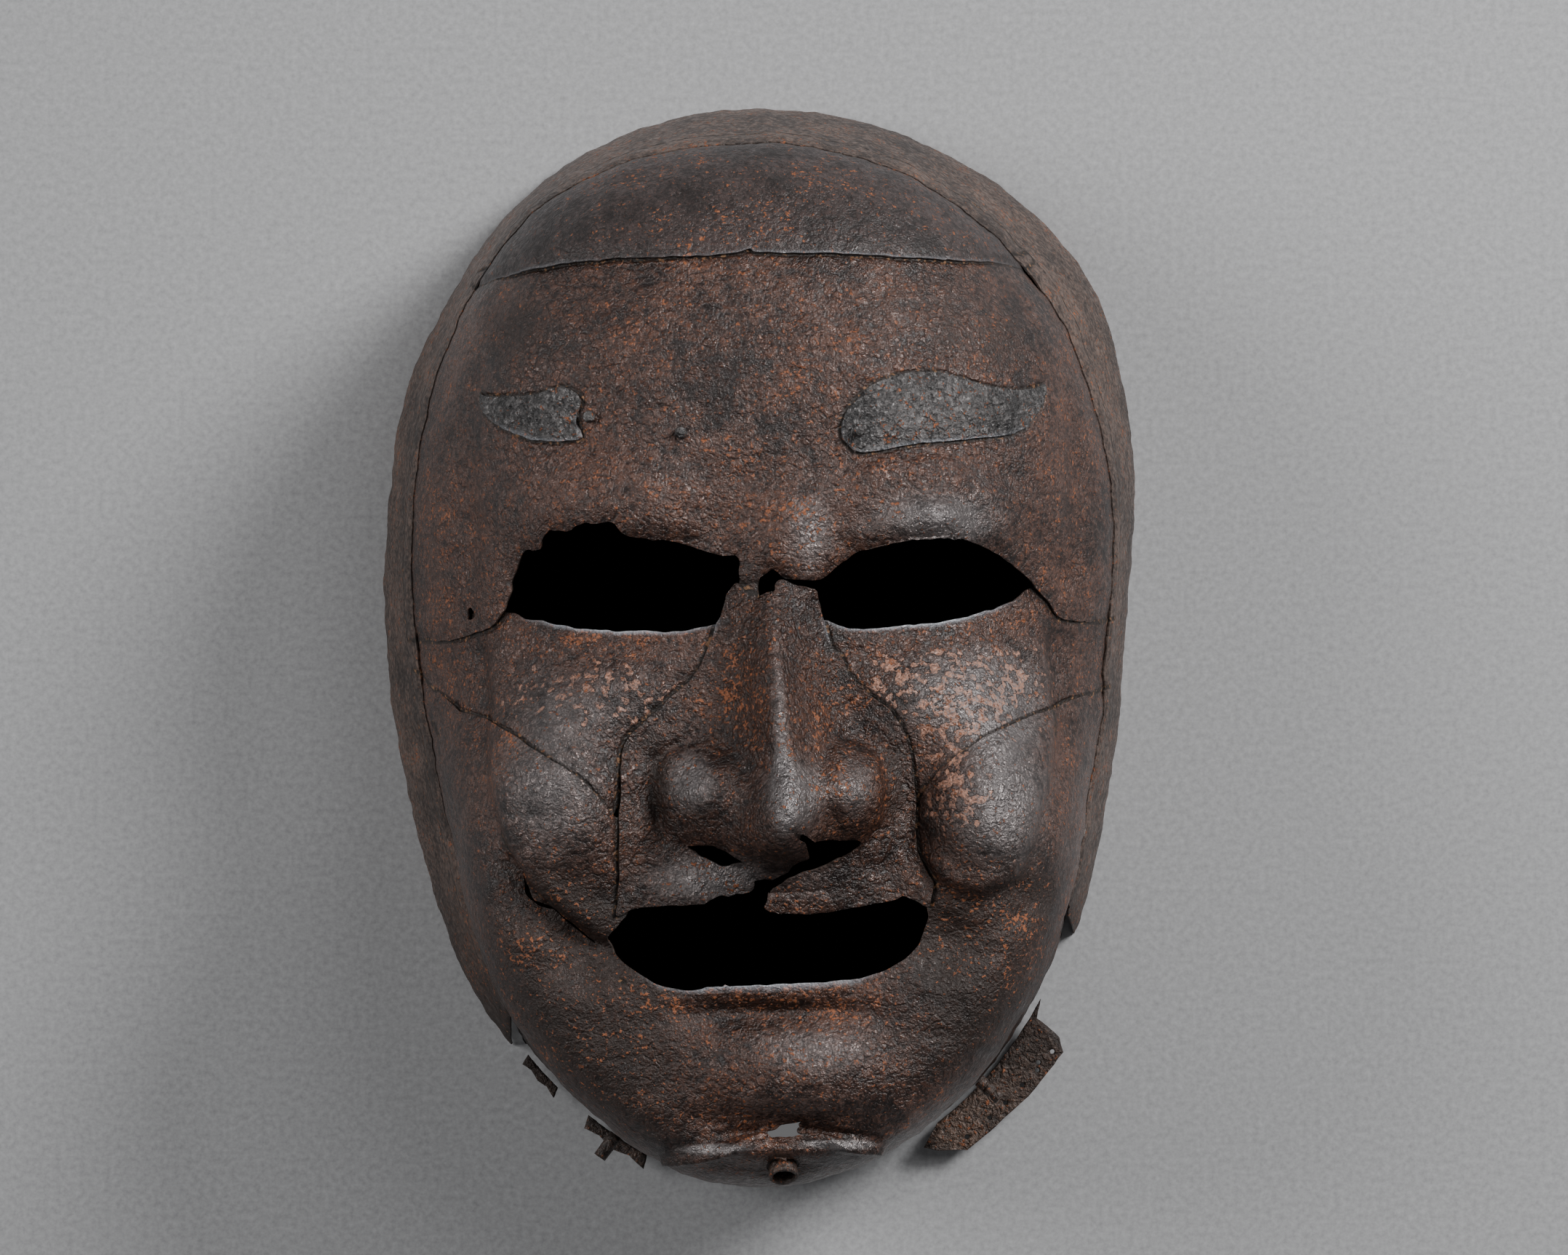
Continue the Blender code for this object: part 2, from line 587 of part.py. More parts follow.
def add_turned(name, profile, place, material, steps):
    """A turned piece: (radius, height) rows spun round its axis, then set in place."""
    shape = bmesh.new()
    rows = [shape.verts.new((radius, 0.0, height)) for radius, height in profile]
    for first, second in zip(rows, rows[1:]):
        shape.edges.new((first, second))
    bmesh.ops.spin(
        shape,
        geom=shape.verts[:] + shape.edges[:],
        cent=(0, 0, 0),
        axis=(0, 0, 1),
        angle=2 * math.pi,
        steps=steps,
        use_merge=True,
    )
    bmesh.ops.remove_doubles(shape, verts=shape.verts[:], dist=1e-6)
    bmesh.ops.recalc_face_normals(shape, faces=shape.faces[:])
    mesh = bpy.data.meshes.new(name)
    shape.to_mesh(mesh)
    shape.free()
    mesh.transform(place)
    mesh.shade_smooth()
    mesh.set_sharp_from_angle(angle=math.radians(SHARP_DEGREES))
    return add_object(name, mesh, material)


def frame_on(centre, axis):
    """Matrix that sets a turned piece at centre, with its axis along axis."""
    return Matrix.Translation(centre) @ Vector((0, 0, 1)).rotation_difference(axis).to_matrix().to_4x4()


def spot_on_face(row, layers):
    """Place and normal of the face surface at a row of shares, raised by layers."""
    x = np.array([row[0] * HALF_WIDTH])
    y = np.array([row[1] * HALF_HEIGHT])
    normal = Vector(surface_normal(x, y)[0])
    return Vector((x[0], y[0], surface_height(x, y)[0])) + normal * layers * LAYER, normal


def jaw_wall(angle, height, out):
    """Place on the bare jaw wall at an angle in degrees, moved out by a length."""
    turn = math.radians(angle)
    seam = float(seam_radius(turn))
    rim = float(rim_radius(turn))
    seam_height = float(round_curve(3, turn)) * FRONT_DEPTH
    radius = seam + (rim - seam) * (1.0 - height / seam_height) + out
    return Vector((radius * math.cos(turn), radius * math.sin(turn), height))


def add_flange(name, outer, inner, holes, material):
    """A flat piece behind the jaw: an outline with round holes, extruded to its thickness."""
    outline = bpy.data.curves.new(name, "CURVE")
    outline.dimensions = "2D"
    outline.fill_mode = "BOTH"
    outline.extrude = FLANGE_SHEET / 2
    loops = [outer + inner]
    for hole in holes:
        turns = round_turns(HOLE_STEPS)
        loops.append([hole + LACING_HOLE_RADIUS * Vector((math.cos(t), math.sin(t))) for t in turns])
    for loop in loops:
        spline = outline.splines.new("POLY")
        spline.points.add(len(loop) - 1)
        for point, place in zip(spline.points, loop):
            point.co = (place[0], place[1], 0.0, 1.0)
        spline.use_cyclic_u = True
    flange = bpy.data.objects.new(name, outline)
    flange.location = (0.0, 0.0, FLANGE_HEIGHT)
    outline.materials.append(material)
    COLLECTION.objects.link(flange)
    return flange


def real(row):
    return Vector((row[0] * HALF_WIDTH, row[1] * HALF_HEIGHT))


for old in list(bpy.data.objects):
    bpy.data.objects.remove(old)
COLLECTION = bpy.data.collections.new("samurai_face_guard")
CUTTERS = bpy.data.collections.new("cutters")
bpy.context.scene.collection.children.link(COLLECTION)
bpy.context.scene.collection.children.link(CUTTERS)

FACE_IRON = make_material("face_iron", (0.060, 0.038, 0.030), 0.55, 0.6)
CROWN_IRON = make_material("crown_iron", (0.050, 0.042, 0.040), 0.50, 0.6)
BAND_IRON = make_material("band_iron", (0.055, 0.046, 0.040), 0.50, 0.6)
TRIM_IRON = make_material("trim_iron", (0.040, 0.042, 0.048), 0.45, 0.7)

# The crown plate lies on the forehead plate and runs under the band all round the top.
add_plate(
    "crown_plate",
    line_of(CROWN_SEAM) + band_arc(angle_of(CROWN_SEAM[-1]), angle_of(CROWN_SEAM[0]), BAND_LAP),
    [],
    level(1),
    CROWN_IRON,
    size=CROWN_MESH_SIZE,
)

# The forehead plate carries both upper eye rims and laps over the cheek plates at the temples.
forehead_top = moved(CROWN_SEAM, up=LAP)
add_plate(
    "forehead_plate",
    line_of(TEMPLE_SEAM_LEFT)
    + line_of(EYE_TOP_LEFT)
    + line_of(ROOT_BREAK_TOP)
    + line_of(EYE_TOP_RIGHT)
    + line_of(TEMPLE_SEAM_RIGHT)
    + band_arc(angle_of(TEMPLE_SEAM_RIGHT[-1]), angle_of(forehead_top[-1]), BAND_LAP)
    + line_of(forehead_top[::-1])
    + band_arc(angle_of(forehead_top[0]), angle_of(TEMPLE_SEAM_LEFT[0]), BAND_LAP),
    [closed_line_of(TEMPLE_SLOT)],
    forehead_lift,
    FACE_IRON,
)

# Each upper cheek plate lies lowest: the forehead, the nose plate and the jaw lap over it.
cheek_top_left = moved(TEMPLE_SEAM_LEFT, up=LAP)
cheek_foot_left = moved(CHEEK_SEAM_LEFT, across=-CHEEK_CORNER_LAP * LAP, up=-CHEEK_FOOT_LAP * LAP)
cheek_nose_left = moved(NOSE_SEAM_LEFT[:8], across=LAP)
add_plate(
    "cheek_plate_left",
    line_of(cheek_top_left[:-1])
    + line_of(EYE_BOTTOM_LEFT)
    + line_of(cheek_nose_left)
    + line_of(cheek_foot_left[::-1])
    + band_arc(angle_of(cheek_foot_left[0]), angle_of(cheek_top_left[0]), BAND_LAP),
    [],
    level(-CHEEK_SINK),
    FACE_IRON,
)
cheek_top_right = moved(TEMPLE_SEAM_RIGHT[1:-1], across=CHEEK_TEMPLE_LAP * LAP, up=LAP)
cheek_foot_right = moved(CHEEK_SEAM_RIGHT, across=CHEEK_CORNER_LAP * LAP, up=-CHEEK_FOOT_LAP * LAP)
cheek_nose_right = moved(NOSE_SEAM_RIGHT[:8], across=-LAP)
add_plate(
    "cheek_plate_right",
    line_of(cheek_nose_right[::-1])
    + line_of(EYE_BOTTOM_RIGHT)
    + line_of(cheek_top_right)
    + band_arc(angle_of(cheek_top_right[-1]), angle_of(cheek_foot_right[-1]) - 360.0, BAND_LAP)
    + line_of(cheek_foot_right[::-1]),
    [],
    level(-CHEEK_SINK),
    FACE_IRON,
)

# The nose plate lies over both cheeks and the jaw, and its lip is split up to the right nostril.
add_plate(
    "nose_plate",
    line_of(NOSE_SEAM_LEFT)
    + line_of(LIP_LEFT)
    + line_of(LIP_SPLIT)
    + line_of(LIP_RIGHT)
    + line_of(NOSE_SEAM_RIGHT[::-1])
    + line_of(ROOT_BREAK_BOTTOM)
    + line_of(NOSE_TOP_LEFT),
    [closed_line_of(NOSTRIL_LEFT)],
    level(2),
    FACE_IRON,
    size=NOSE_MESH_SIZE,
)

# The jaw plate holds the lower cheeks, the lower mouth rim and the chin, and turns back to the rear rim.
jaw_nose_left = moved(NOSE_SEAM_LEFT[10:], across=JAW_NOSE_LAP * LAP)
jaw_nose_right = moved(NOSE_SEAM_RIGHT[10:], across=-JAW_NOSE_LAP * LAP)
add_plate(
    "jaw_plate",
    line_of(CHEEK_SEAM_LEFT)
    + line_of(jaw_nose_left)
    + line_of(MOUTH_BOTTOM)
    + line_of(jaw_nose_right[::-1])
    + line_of(CHEEK_SEAM_RIGHT)
    + band_arc(angle_of(CHEEK_SEAM_RIGHT[-1]), BAND_RIGHT_END + BAND_COVER, BAND_LAP)
    + band_arc(BAND_RIGHT_END, BAND_LEFT_END, JAW_REAR * BAND_WIDTH)
    + band_arc(BAND_LEFT_END - BAND_COVER, angle_of(CHEEK_SEAM_LEFT[0]), BAND_LAP),
    [
        closed_line_of(JAW_TEAR),
        closed_line_of(CHIN_BREAK),
        circle(SWEAT_HOLE, SWEAT_BORE / 2 + SWEAT_RING_WALL + GAP),
    ],
    level(1),
    FACE_IRON,
)

# The rim band stands on its rear edge, outside every plate that it holds, and tapers out at both ends.
band = add_plate(
    "rim_band",
    band_arc(BAND_RIGHT_END - 360.0, BAND_LEFT_END, BAND_REAR * BAND_WIDTH)
    + band_arc(BAND_LEFT_END - BAND_TAPER, BAND_RIGHT_END + BAND_TAPER - 360.0, 0.0),
    [],
    level(BAND_LAYERS),
    BAND_IRON,
    size=BAND_MESH_SIZE,
)
below = bmesh.new()
bmesh.ops.create_cube(below, size=1.0)
bmesh.ops.scale(below, verts=below.verts, vec=(4 * HALF_WIDTH, 4 * HALF_HEIGHT, BAND_WIDTH))
bmesh.ops.translate(below, verts=below.verts, vec=(0.0, 0.0, -BAND_WIDTH / 2))
floor_mesh = bpy.data.meshes.new("rear_plane")
below.to_mesh(floor_mesh)
below.free()
rear_plane = bpy.data.objects.new("rear_plane", floor_mesh)
rear_plane.hide_render = True
rear_plane.display_type = "WIRE"
CUTTERS.objects.link(rear_plane)
cut = band.modifiers.new("flat_rim", "BOOLEAN")
cut.operation = "DIFFERENCE"
cut.object = rear_plane
cut.solver = "EXACT"

# The brows are thin plates laid on the forehead: the right one whole, the left one a broken stub.
brow_lift = 1.0 + (BROW_SHEET + GAP) / LAYER
for name, rows in [("brow_plate_left", BROW_STUB_LEFT), ("brow_plate_right", BROW_RIGHT)]:
    add_plate(name, closed_line_of(rows), [], level(brow_lift), TRIM_IRON, sheet=BROW_SHEET)

# Round-headed rivets: two hold brow plates, one is left where the broken brow ended.
rivet_head = [(radius * RIVET_RADIUS, height * RIVET_RADIUS) for radius, height in RIVET_PROFILE]
rivet_lifts = {"forehead": 1.0, "brow": brow_lift}
for name, across, up, below_head in RIVETS:
    foot, normal = spot_on_face((across, up), rivet_lifts[below_head])
    add_turned(name, rivet_head, frame_on(foot + normal * GAP, normal), TRIM_IRON, RIVET_STEPS)

# A short tube lines the sweat hole under the chin.
ring_inner = SWEAT_BORE / 2
ring_outer = ring_inner + SWEAT_RING_WALL
ring_profile = [
    (ring_inner, -SWEAT_RING_LENGTH / 2),
    (ring_outer, -SWEAT_RING_LENGTH / 2),
    (ring_outer, SWEAT_RING_LENGTH / 2),
    (ring_inner, SWEAT_RING_LENGTH / 2),
    (ring_inner, -SWEAT_RING_LENGTH / 2),
]
hole_place, hole_normal = spot_on_face(SWEAT_HOLE, 1)
add_turned("sweat_ring", ring_profile, frame_on(hole_place, hole_normal), TRIM_IRON, RING_STEPS)

# Cord pegs: short blind tubes that stand out of the jaw wall, one of them grooved.
for name, angle, peg_surface in PEGS:
    grooves = PEG_GROOVE_STEPS if peg_surface == "grooved" else 0
    bare = jaw_wall(angle, PEG_HEIGHT, 0.0)
    foot, outward = spot_on_face((bare.x / HALF_WIDTH, bare.y / HALF_HEIGHT), 1)
    profile = [(0.0, 0.0), (PEG_RADIUS, 0.0)]
    for groove in range(grooves):
        middle = PEG_LENGTH * (groove + 1) / (grooves + 1)
        profile += [
            (PEG_RADIUS, middle - PEG_LENGTH * GROOVE_HALF),
            (PEG_RADIUS * GROOVE_FLOOR, middle),
            (PEG_RADIUS, middle + PEG_LENGTH * GROOVE_HALF),
        ]
    bore_floor = PEG_LENGTH * (1.0 - PEG_BORE_DEPTH)
    profile += [
        (PEG_RADIUS, PEG_LENGTH),
        (PEG_BORE_RADIUS, PEG_LENGTH),
        (PEG_BORE_RADIUS, bore_floor),
        (0.0, bore_floor),
    ]
    add_turned(name, profile, frame_on(foot + outward * GAP, outward), TRIM_IRON, PEG_STEPS)

# What is left of the throat flange: a long piece with lacing holes on the right, and stubs on the left.
flange_start, flange_stop = FLANGE_ANGLES
flange_seat = LAYER + GAP
seat = [jaw_wall(a, FLANGE_HEIGHT, flange_seat) for a in np.linspace(flange_stop, flange_start, FLANGE_STEPS)]
outer = [real(row) for row in FLANGE_OUTER]
add_flange("throat_flange_right", outer, seat, [real(row) for row in LACING_HOLES], FACE_IRON)
for name, first, last, reach in FLANGE_STUBS:
    seat = []
    edge = []
    for n, angle in enumerate(np.linspace(first, last, STUB_STEPS)):
        depth = reach * LAP * (1.0 - STUB_NOTCH * (n % 2))
        seat.append(jaw_wall(angle, FLANGE_HEIGHT, flange_seat))
        edge.append(jaw_wall(angle, FLANGE_HEIGHT, flange_seat + depth))
    add_flange(name, seat, edge[::-1], [], FACE_IRON)
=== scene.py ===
"""Looks of an iron guard for the whole face, built round its packed plates.

Metres, in the plates' own frame: +X to the viewer's right, +Y to the top of the head, +Z out of the face.
Across is a share of half the guard's width and up a share of half its height, both from the middle.
"""
import math
import bmesh
import bpy
import numpy as np
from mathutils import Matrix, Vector, kdtree, noise


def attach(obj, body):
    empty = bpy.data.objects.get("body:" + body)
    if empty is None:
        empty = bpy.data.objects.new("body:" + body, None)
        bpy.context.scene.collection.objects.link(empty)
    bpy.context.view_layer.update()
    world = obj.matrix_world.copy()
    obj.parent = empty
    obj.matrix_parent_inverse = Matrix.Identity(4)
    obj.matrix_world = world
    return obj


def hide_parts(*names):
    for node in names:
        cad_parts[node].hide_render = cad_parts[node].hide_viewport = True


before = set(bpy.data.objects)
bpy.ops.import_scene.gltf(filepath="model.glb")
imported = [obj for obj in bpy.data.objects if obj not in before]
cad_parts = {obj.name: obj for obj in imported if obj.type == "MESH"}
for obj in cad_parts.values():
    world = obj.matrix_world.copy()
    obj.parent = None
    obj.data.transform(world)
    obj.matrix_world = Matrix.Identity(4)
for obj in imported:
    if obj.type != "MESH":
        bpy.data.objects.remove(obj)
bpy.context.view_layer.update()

# The guard lies face up on a sheet of grey studio paper and is seen from straight above. A wide soft
# light hangs up to the right, a weaker one to the left, and the paper darkens away from them.
CAMERA_HEIGHT = 1.25
CAMERA_ACROSS = 0.0056
CAMERA_UP = 0.00415
VIEW_WIDTH = 0.35897
SENSOR_MM = 36.0
camera_data = bpy.data.cameras.new("camera")
camera_data.sensor_width = SENSOR_MM
camera_data.lens = SENSOR_MM * CAMERA_HEIGHT / VIEW_WIDTH
camera = bpy.data.objects.new("camera", camera_data)
camera.location = (CAMERA_ACROSS, CAMERA_UP, CAMERA_HEIGHT)
bpy.context.scene.collection.objects.link(camera)
bpy.context.scene.camera = camera


def add_soft_light(name, place, size, watts, aim=(0.0, 0.0, 0.05)):
    data = bpy.data.lights.new(name, "AREA")
    data.shape = "DISK"
    data.size = size
    data.energy = watts
    light = bpy.data.objects.new(name, data)
    light.location = place
    toward = Vector(aim) - Vector(place)
    light.rotation_euler = toward.to_track_quat("-Z", "Y").to_euler()
    bpy.context.scene.collection.objects.link(light)


add_soft_light("main_softbox", (0.85, 0.64, 0.80), size=0.46, watts=18.8)
add_soft_light("left_softbox", (-1.90, 0.50, 1.30), size=1.3, watts=30.5)
add_soft_light("top_softbox", (0.70, 0.60, 1.5), size=0.6, watts=4.6)
world = bpy.data.worlds.new("studio")
world.use_nodes = True
world.node_tree.nodes["Background"].inputs["Color"].default_value = (0.55, 0.56, 0.58, 1.0)
world.node_tree.nodes["Background"].inputs["Strength"].default_value = 0.26
bpy.context.scene.world = world


def add_node(tree, kind, sockets, **settings):
    """A shader node with its settings, and its sockets set to numbers or joined to other nodes' outputs."""
    node = tree.nodes.new(kind)
    for name, value in settings.items():
        setattr(node, name, value)
    for name, value in sockets.items():
        if isinstance(value, bpy.types.NodeSocket):
            tree.links.new(value, node.inputs[name])
        else:
            node.inputs[name].default_value = value
    return node


def mixed(tree, share, first, second):
    """Two colours mixed by a share of the second."""
    node = tree.nodes.new("ShaderNodeMix")
    node.data_type = "RGBA"
    for socket, value in ((node.inputs[0], share), (node.inputs[6], first), (node.inputs[7], second)):
        if isinstance(value, bpy.types.NodeSocket):
            tree.links.new(value, socket)
        else:
            socket.default_value = value
    return node.outputs[2]


FIBRE_SCALE = 700.0
PAPER_ROUGHNESS = 0.95
PAPER_SPECULAR = 0.1


def add_sheet(name, middle, half_sizes, colour, glow, fibres=0.0):
    """A flat oval piece of the studio: paper or card, lying at a height. Fibres mottle its colour."""
    flat = bmesh.new()
    bmesh.ops.create_circle(flat, cap_ends=True, segments=64, radius=1.0)
    bmesh.ops.scale(flat, verts=flat.verts, vec=(*half_sizes, 1.0))
    bmesh.ops.translate(flat, verts=flat.verts, vec=middle)
    mesh = bpy.data.meshes.new(name)
    flat.to_mesh(mesh)
    flat.free()
    material = bpy.data.materials.new(name)
    material.use_nodes = True
    shader = material.node_tree.nodes["Principled BSDF"]
    shader.inputs["Base Color"].default_value = colour
    shader.inputs["Roughness"].default_value = PAPER_ROUGHNESS
    shader.inputs["Specular IOR Level"].default_value = PAPER_SPECULAR
    shader.inputs["Emission Color"].default_value = colour
    shader.inputs["Emission Strength"].default_value = glow
    if fibres:
        tree = material.node_tree
        places = tree.nodes.new("ShaderNodeTexCoord").outputs["Object"]
        felt_sockets = {"Vector": places, "Scale": FIBRE_SCALE, "Detail": 3.0, "Roughness": 0.7}
        felt = add_node(tree, "ShaderNodeTexNoise", felt_sockets).outputs["Fac"]
        dark, light = ([part * (1.0 + share) for part in colour[:3]] + [1.0] for share in (-fibres, fibres))
        tree.links.new(mixed(tree, felt, dark, light), shader.inputs["Base Color"])
    mesh.materials.append(material)
    sheet = bpy.data.objects.new(name, mesh)
    bpy.context.scene.collection.objects.link(sheet)


PAPER_GREY = (0.370, 0.370, 0.375, 1.0)
CARD_BLACK = (0.0005, 0.0005, 0.0005, 1.0)
CARD_PALE = (0.40, 0.40, 0.405, 1.0)
add_sheet("studio_paper", (0.0, 0.0, 0.0), (3.0, 3.0), colour=PAPER_GREY, glow=0.0, fibres=0.40)

# A black card under the guard makes the face openings plain black: painted shade, standing in for the
# darkness inside the guard.
add_sheet("black_card", (0.0, 0.0, 0.0006), (0.072, 0.098), colour=CARD_BLACK, glow=0.0)
# A pale card glows under the break in the chin: painted light on the paper seen through it.
add_sheet("pale_card", (0.0068, -0.1105, 0.0009), (0.009, 0.0065), colour=CARD_PALE, glow=0.33)

# Cheek plates. Two iron sheets under the eyes, beaten round, with thin lower eye rims lit by a painted
# highlight. They lie lowest, and every other plate laps over them, so the face surface and the wear that all
# plates share are set out here.
HALF_WIDTH = 0.0860
HALF_HEIGHT = 0.1230
FRONT_DEPTH = 0.0920
NOSE_RISE = 0.0260
SHEET = 0.0011
LAYER = 0.00155
BAND_LAYERS = 2.2
CHEEK_SINK = 0.2
BAND_WIDTH = 0.0400
WALL_CROWDING = 0.94
NORMAL_STEP = 0.0010
# The relief fades out from this share of the way to the band seam.
RELIEF_FADE = 0.90
# Columns: angle in degrees, rim and band seam as shares of the ellipse of the half sizes, seam depth
# as a share of FRONT_DEPTH.
RIM = [
    (0, 0.971, 0.930, 0.38),
    (12, 0.998, 0.958, 0.38),
    (24, 1.046, 0.982, 0.38),
    (36, 1.085, 1.000, 0.40),
    (48, 1.112, 1.000, 0.43),
    (60, 1.079, 0.979, 0.46),
    (72, 1.032, 0.948, 0.50),
    (84, 1.005, 0.925, 0.52),
    (96, 1.004, 0.928, 0.52),
    (108, 1.024, 0.962, 0.50),
    (120, 1.043, 0.996, 0.46),
    (132, 1.050, 0.998, 0.43),
    (144, 1.050, 0.985, 0.40),
    (156, 1.026, 0.961, 0.38),
    (168, 1.009, 0.938, 0.38),
    (180, 0.997, 0.918, 0.38),
    (192, 0.986, 0.902, 0.37),
    (204, 0.979, 0.896, 0.36),
    (216, 0.981, 0.904, 0.36),
    (228, 0.991, 0.925, 0.36),
    (240, 0.995, 0.945, 0.38),
    (252, 1.000, 0.960, 0.42),
    (264, 1.015, 0.978, 0.47),
    (276, 1.017, 0.980, 0.47),
    (288, 1.020, 0.980, 0.42),
    (300, 1.020, 0.972, 0.38),
    (312, 1.008, 0.962, 0.36),
    (324, 0.984, 0.949, 0.36),
    (336, 0.969, 0.926, 0.36),
    (348, 0.965, 0.926, 0.37),
]
# How the face rounds back to the band seam: share = (1 - reach ** power) ** (1 / root).
ROUNDING = {"side": (2.6, 1.3), "up": (4.5, 1.6), "down": (24.0, 3.0)}
# Columns: name, across, up, half width, half height, turn in degrees, rise as a share of FRONT_DEPTH.
RELIEF = [
    ("brow_left", -0.40, 0.235, 0.34, 0.125, 4, 0.050),
    ("brow_right", 0.440, 0.225, 0.29, 0.112, -4, 0.070),
    ("between_brows", 0.07, 0.175, 0.17, 0.14, 0, 0.030),
    ("inner_socket_left", -0.17, 0.095, 0.15, 0.075, 0, -0.036),
    ("inner_socket_right", 0.25, 0.095, 0.15, 0.075, 0, -0.036),
    ("upper_cheek_left", -0.50, -0.060, 0.36, 0.14, -14, 0.034),
    ("upper_cheek_right", 0.56, -0.060, 0.36, 0.14, 14, 0.034),
    ("lower_cheek_left", -0.47, -0.270, 0.24, 0.215, 24, 0.080),
    ("lower_cheek_right", 0.575, -0.285, 0.21, 0.215, -14, 0.080),
    ("under_cheek_left", -0.54, -0.460, 0.20, 0.060, -38, -0.018),
    ("under_cheek_right", 0.67, -0.435, 0.17, 0.065, 24, -0.026),
    ("outer_socket_right", 0.72, 0.130, 0.10, 0.110, 20, -0.016),
    ("fold_left", -0.29, -0.36, 0.16, 0.16, 12, -0.022),
    ("fold_right", 0.37, -0.36, 0.16, 0.16, -12, -0.022),
    ("upper_lip", 0.03, -0.425, 0.36, 0.085, 0, 0.030),
    ("mouth_corner_left", -0.42, -0.53, 0.15, 0.09, 0, -0.030),
    ("mouth_corner_right", 0.47, -0.51, 0.15, 0.09, 0, -0.030),
    ("lower_lip", 0.03, -0.585, 0.36, 0.042, 0, 0.016),
    ("lip_hollow", 0.03, -0.634, 0.36, 0.046, 0, -0.024),
    ("chin_ball", 0.10, -0.735, 0.32, 0.125, 0, 0.058),
    ("chin_hollow", 0.05, -0.815, 0.36, 0.055, 0, -0.024),
    ("chin_crease", 0.03, -0.868, 0.40, 0.032, 0, 0.026),
    ("temple_left", -0.74, 0.22, 0.11, 0.26, 0, -0.020),
    ("temple_right", 0.80, 0.24, 0.11, 0.26, 0, -0.020),
    ("nose_tip", 0.055, -0.285, 0.150, 0.090, 0, 0.056),
    ("nose_wing_left", -0.130, -0.245, 0.130, 0.100, 0, 0.086),
    ("nose_wing_right", 0.238, -0.240, 0.124, 0.098, 0, 0.086),
]
# Columns: up, middle and half width across, height as a share of NOSE_RISE.
NOSE = [
    (0.110, 0.030, 0.07, 0.00),
    (0.040, 0.036, 0.12, 0.22),
    (-0.045, 0.042, 0.14, 0.44),
    (-0.125, 0.056, 0.18, 0.62),
    (-0.205, 0.072, 0.24, 0.76),
    (-0.270, 0.076, 0.29, 0.80),
    (-0.325, 0.066, 0.30, 0.66),
    (-0.375, 0.058, 0.28, 0.22),
    (-0.415, 0.050, 0.26, 0.00),
]
NOSE_FLANK_POWER = 1.7
NOSE_RIDGE_RADIUS = 0.0012


def blend(low, high, value):
    """0 below low, 1 above high, smooth between."""
    t = np.clip((value - low) / (high - low), 0.0, 1.0)
    return t * t * (3.0 - 2.0 * t)


def curve(places, values, wanted):
    """A smooth line through the rows of a table, by cubic Hermite pieces."""
    places = np.asarray(places, float)
    values = np.asarray(values, float)
    steps = np.diff(values) / np.diff(places)
    slopes = np.concatenate([[steps[0]], (steps[:-1] + steps[1:]) / 2, [steps[-1]]])
    wanted = np.clip(wanted, places[0], places[-1])
    row = np.clip(np.searchsorted(places, wanted) - 1, 0, len(places) - 2)
    width = places[row + 1] - places[row]
    t = (wanted - places[row]) / width
    rise = values[row] * (1 + 2 * t) * (1 - t) ** 2 + values[row + 1] * t * t * (3 - 2 * t)
    return rise + width * (slopes[row] * t * (1 - t) ** 2 - slopes[row + 1] * t * t * (1 - t))


def round_curve(column, angle):
    """A column of RIM, read as a smooth closed line."""
    rows = RIM[-2:] + RIM + RIM[:3]
    turns = [-360] * 2 + [0] * len(RIM) + [360] * 3
    places = [row[0] + turn for row, turn in zip(rows, turns)]
    return curve(places, [row[column] for row in rows], np.degrees(angle) % 360.0)


def ring_radius(column, angle):
    """Radius of the bare rim or band seam, from its column of RIM."""
    ellipse = 1.0 / np.hypot(np.cos(angle) / HALF_WIDTH, np.sin(angle) / HALF_HEIGHT)
    return round_curve(column, angle) * ellipse - BAND_LAYERS * LAYER


def seam_radius(angle):
    return ring_radius(2, angle)


def rim_radius(angle):
    return ring_radius(1, angle)


def swellings(x, y, rows):
    """Sum of soft ovals at a place. A row ends with: across, up, half width, half height, turn, amount."""
    total = np.zeros_like(x)
    for *_, across, up, half_across, half_up, turn, amount in rows:
        dx = x - across * HALF_WIDTH
        dy = y - up * HALF_HEIGHT
        c = math.cos(math.radians(turn))
        s = math.sin(math.radians(turn))
        along = (dx * c + dy * s) / (half_across * HALF_WIDTH)
        over = (dy * c - dx * s) / (half_up * HALF_HEIGHT)
        total = total + amount * np.clip(1.0 - along * along - over * over, 0.0, 1.0) ** 2
    return total


def nose_height(x, y):
    up = [row[0] * HALF_HEIGHT for row in NOSE][::-1]
    middle = curve(up, [row[1] * HALF_WIDTH for row in NOSE][::-1], y)
    half = curve(up, [row[2] * HALF_WIDTH for row in NOSE][::-1], y)
    rise = curve(up, [row[3] * NOSE_RISE for row in NOSE][::-1], y)
    from_ridge = np.hypot(x - middle, NOSE_RIDGE_RADIUS) - NOSE_RIDGE_RADIUS
    flank = np.clip(1.0 - from_ridge / half, 0.0, 1.0)
    return np.maximum(rise, 0.0) * flank**NOSE_FLANK_POWER


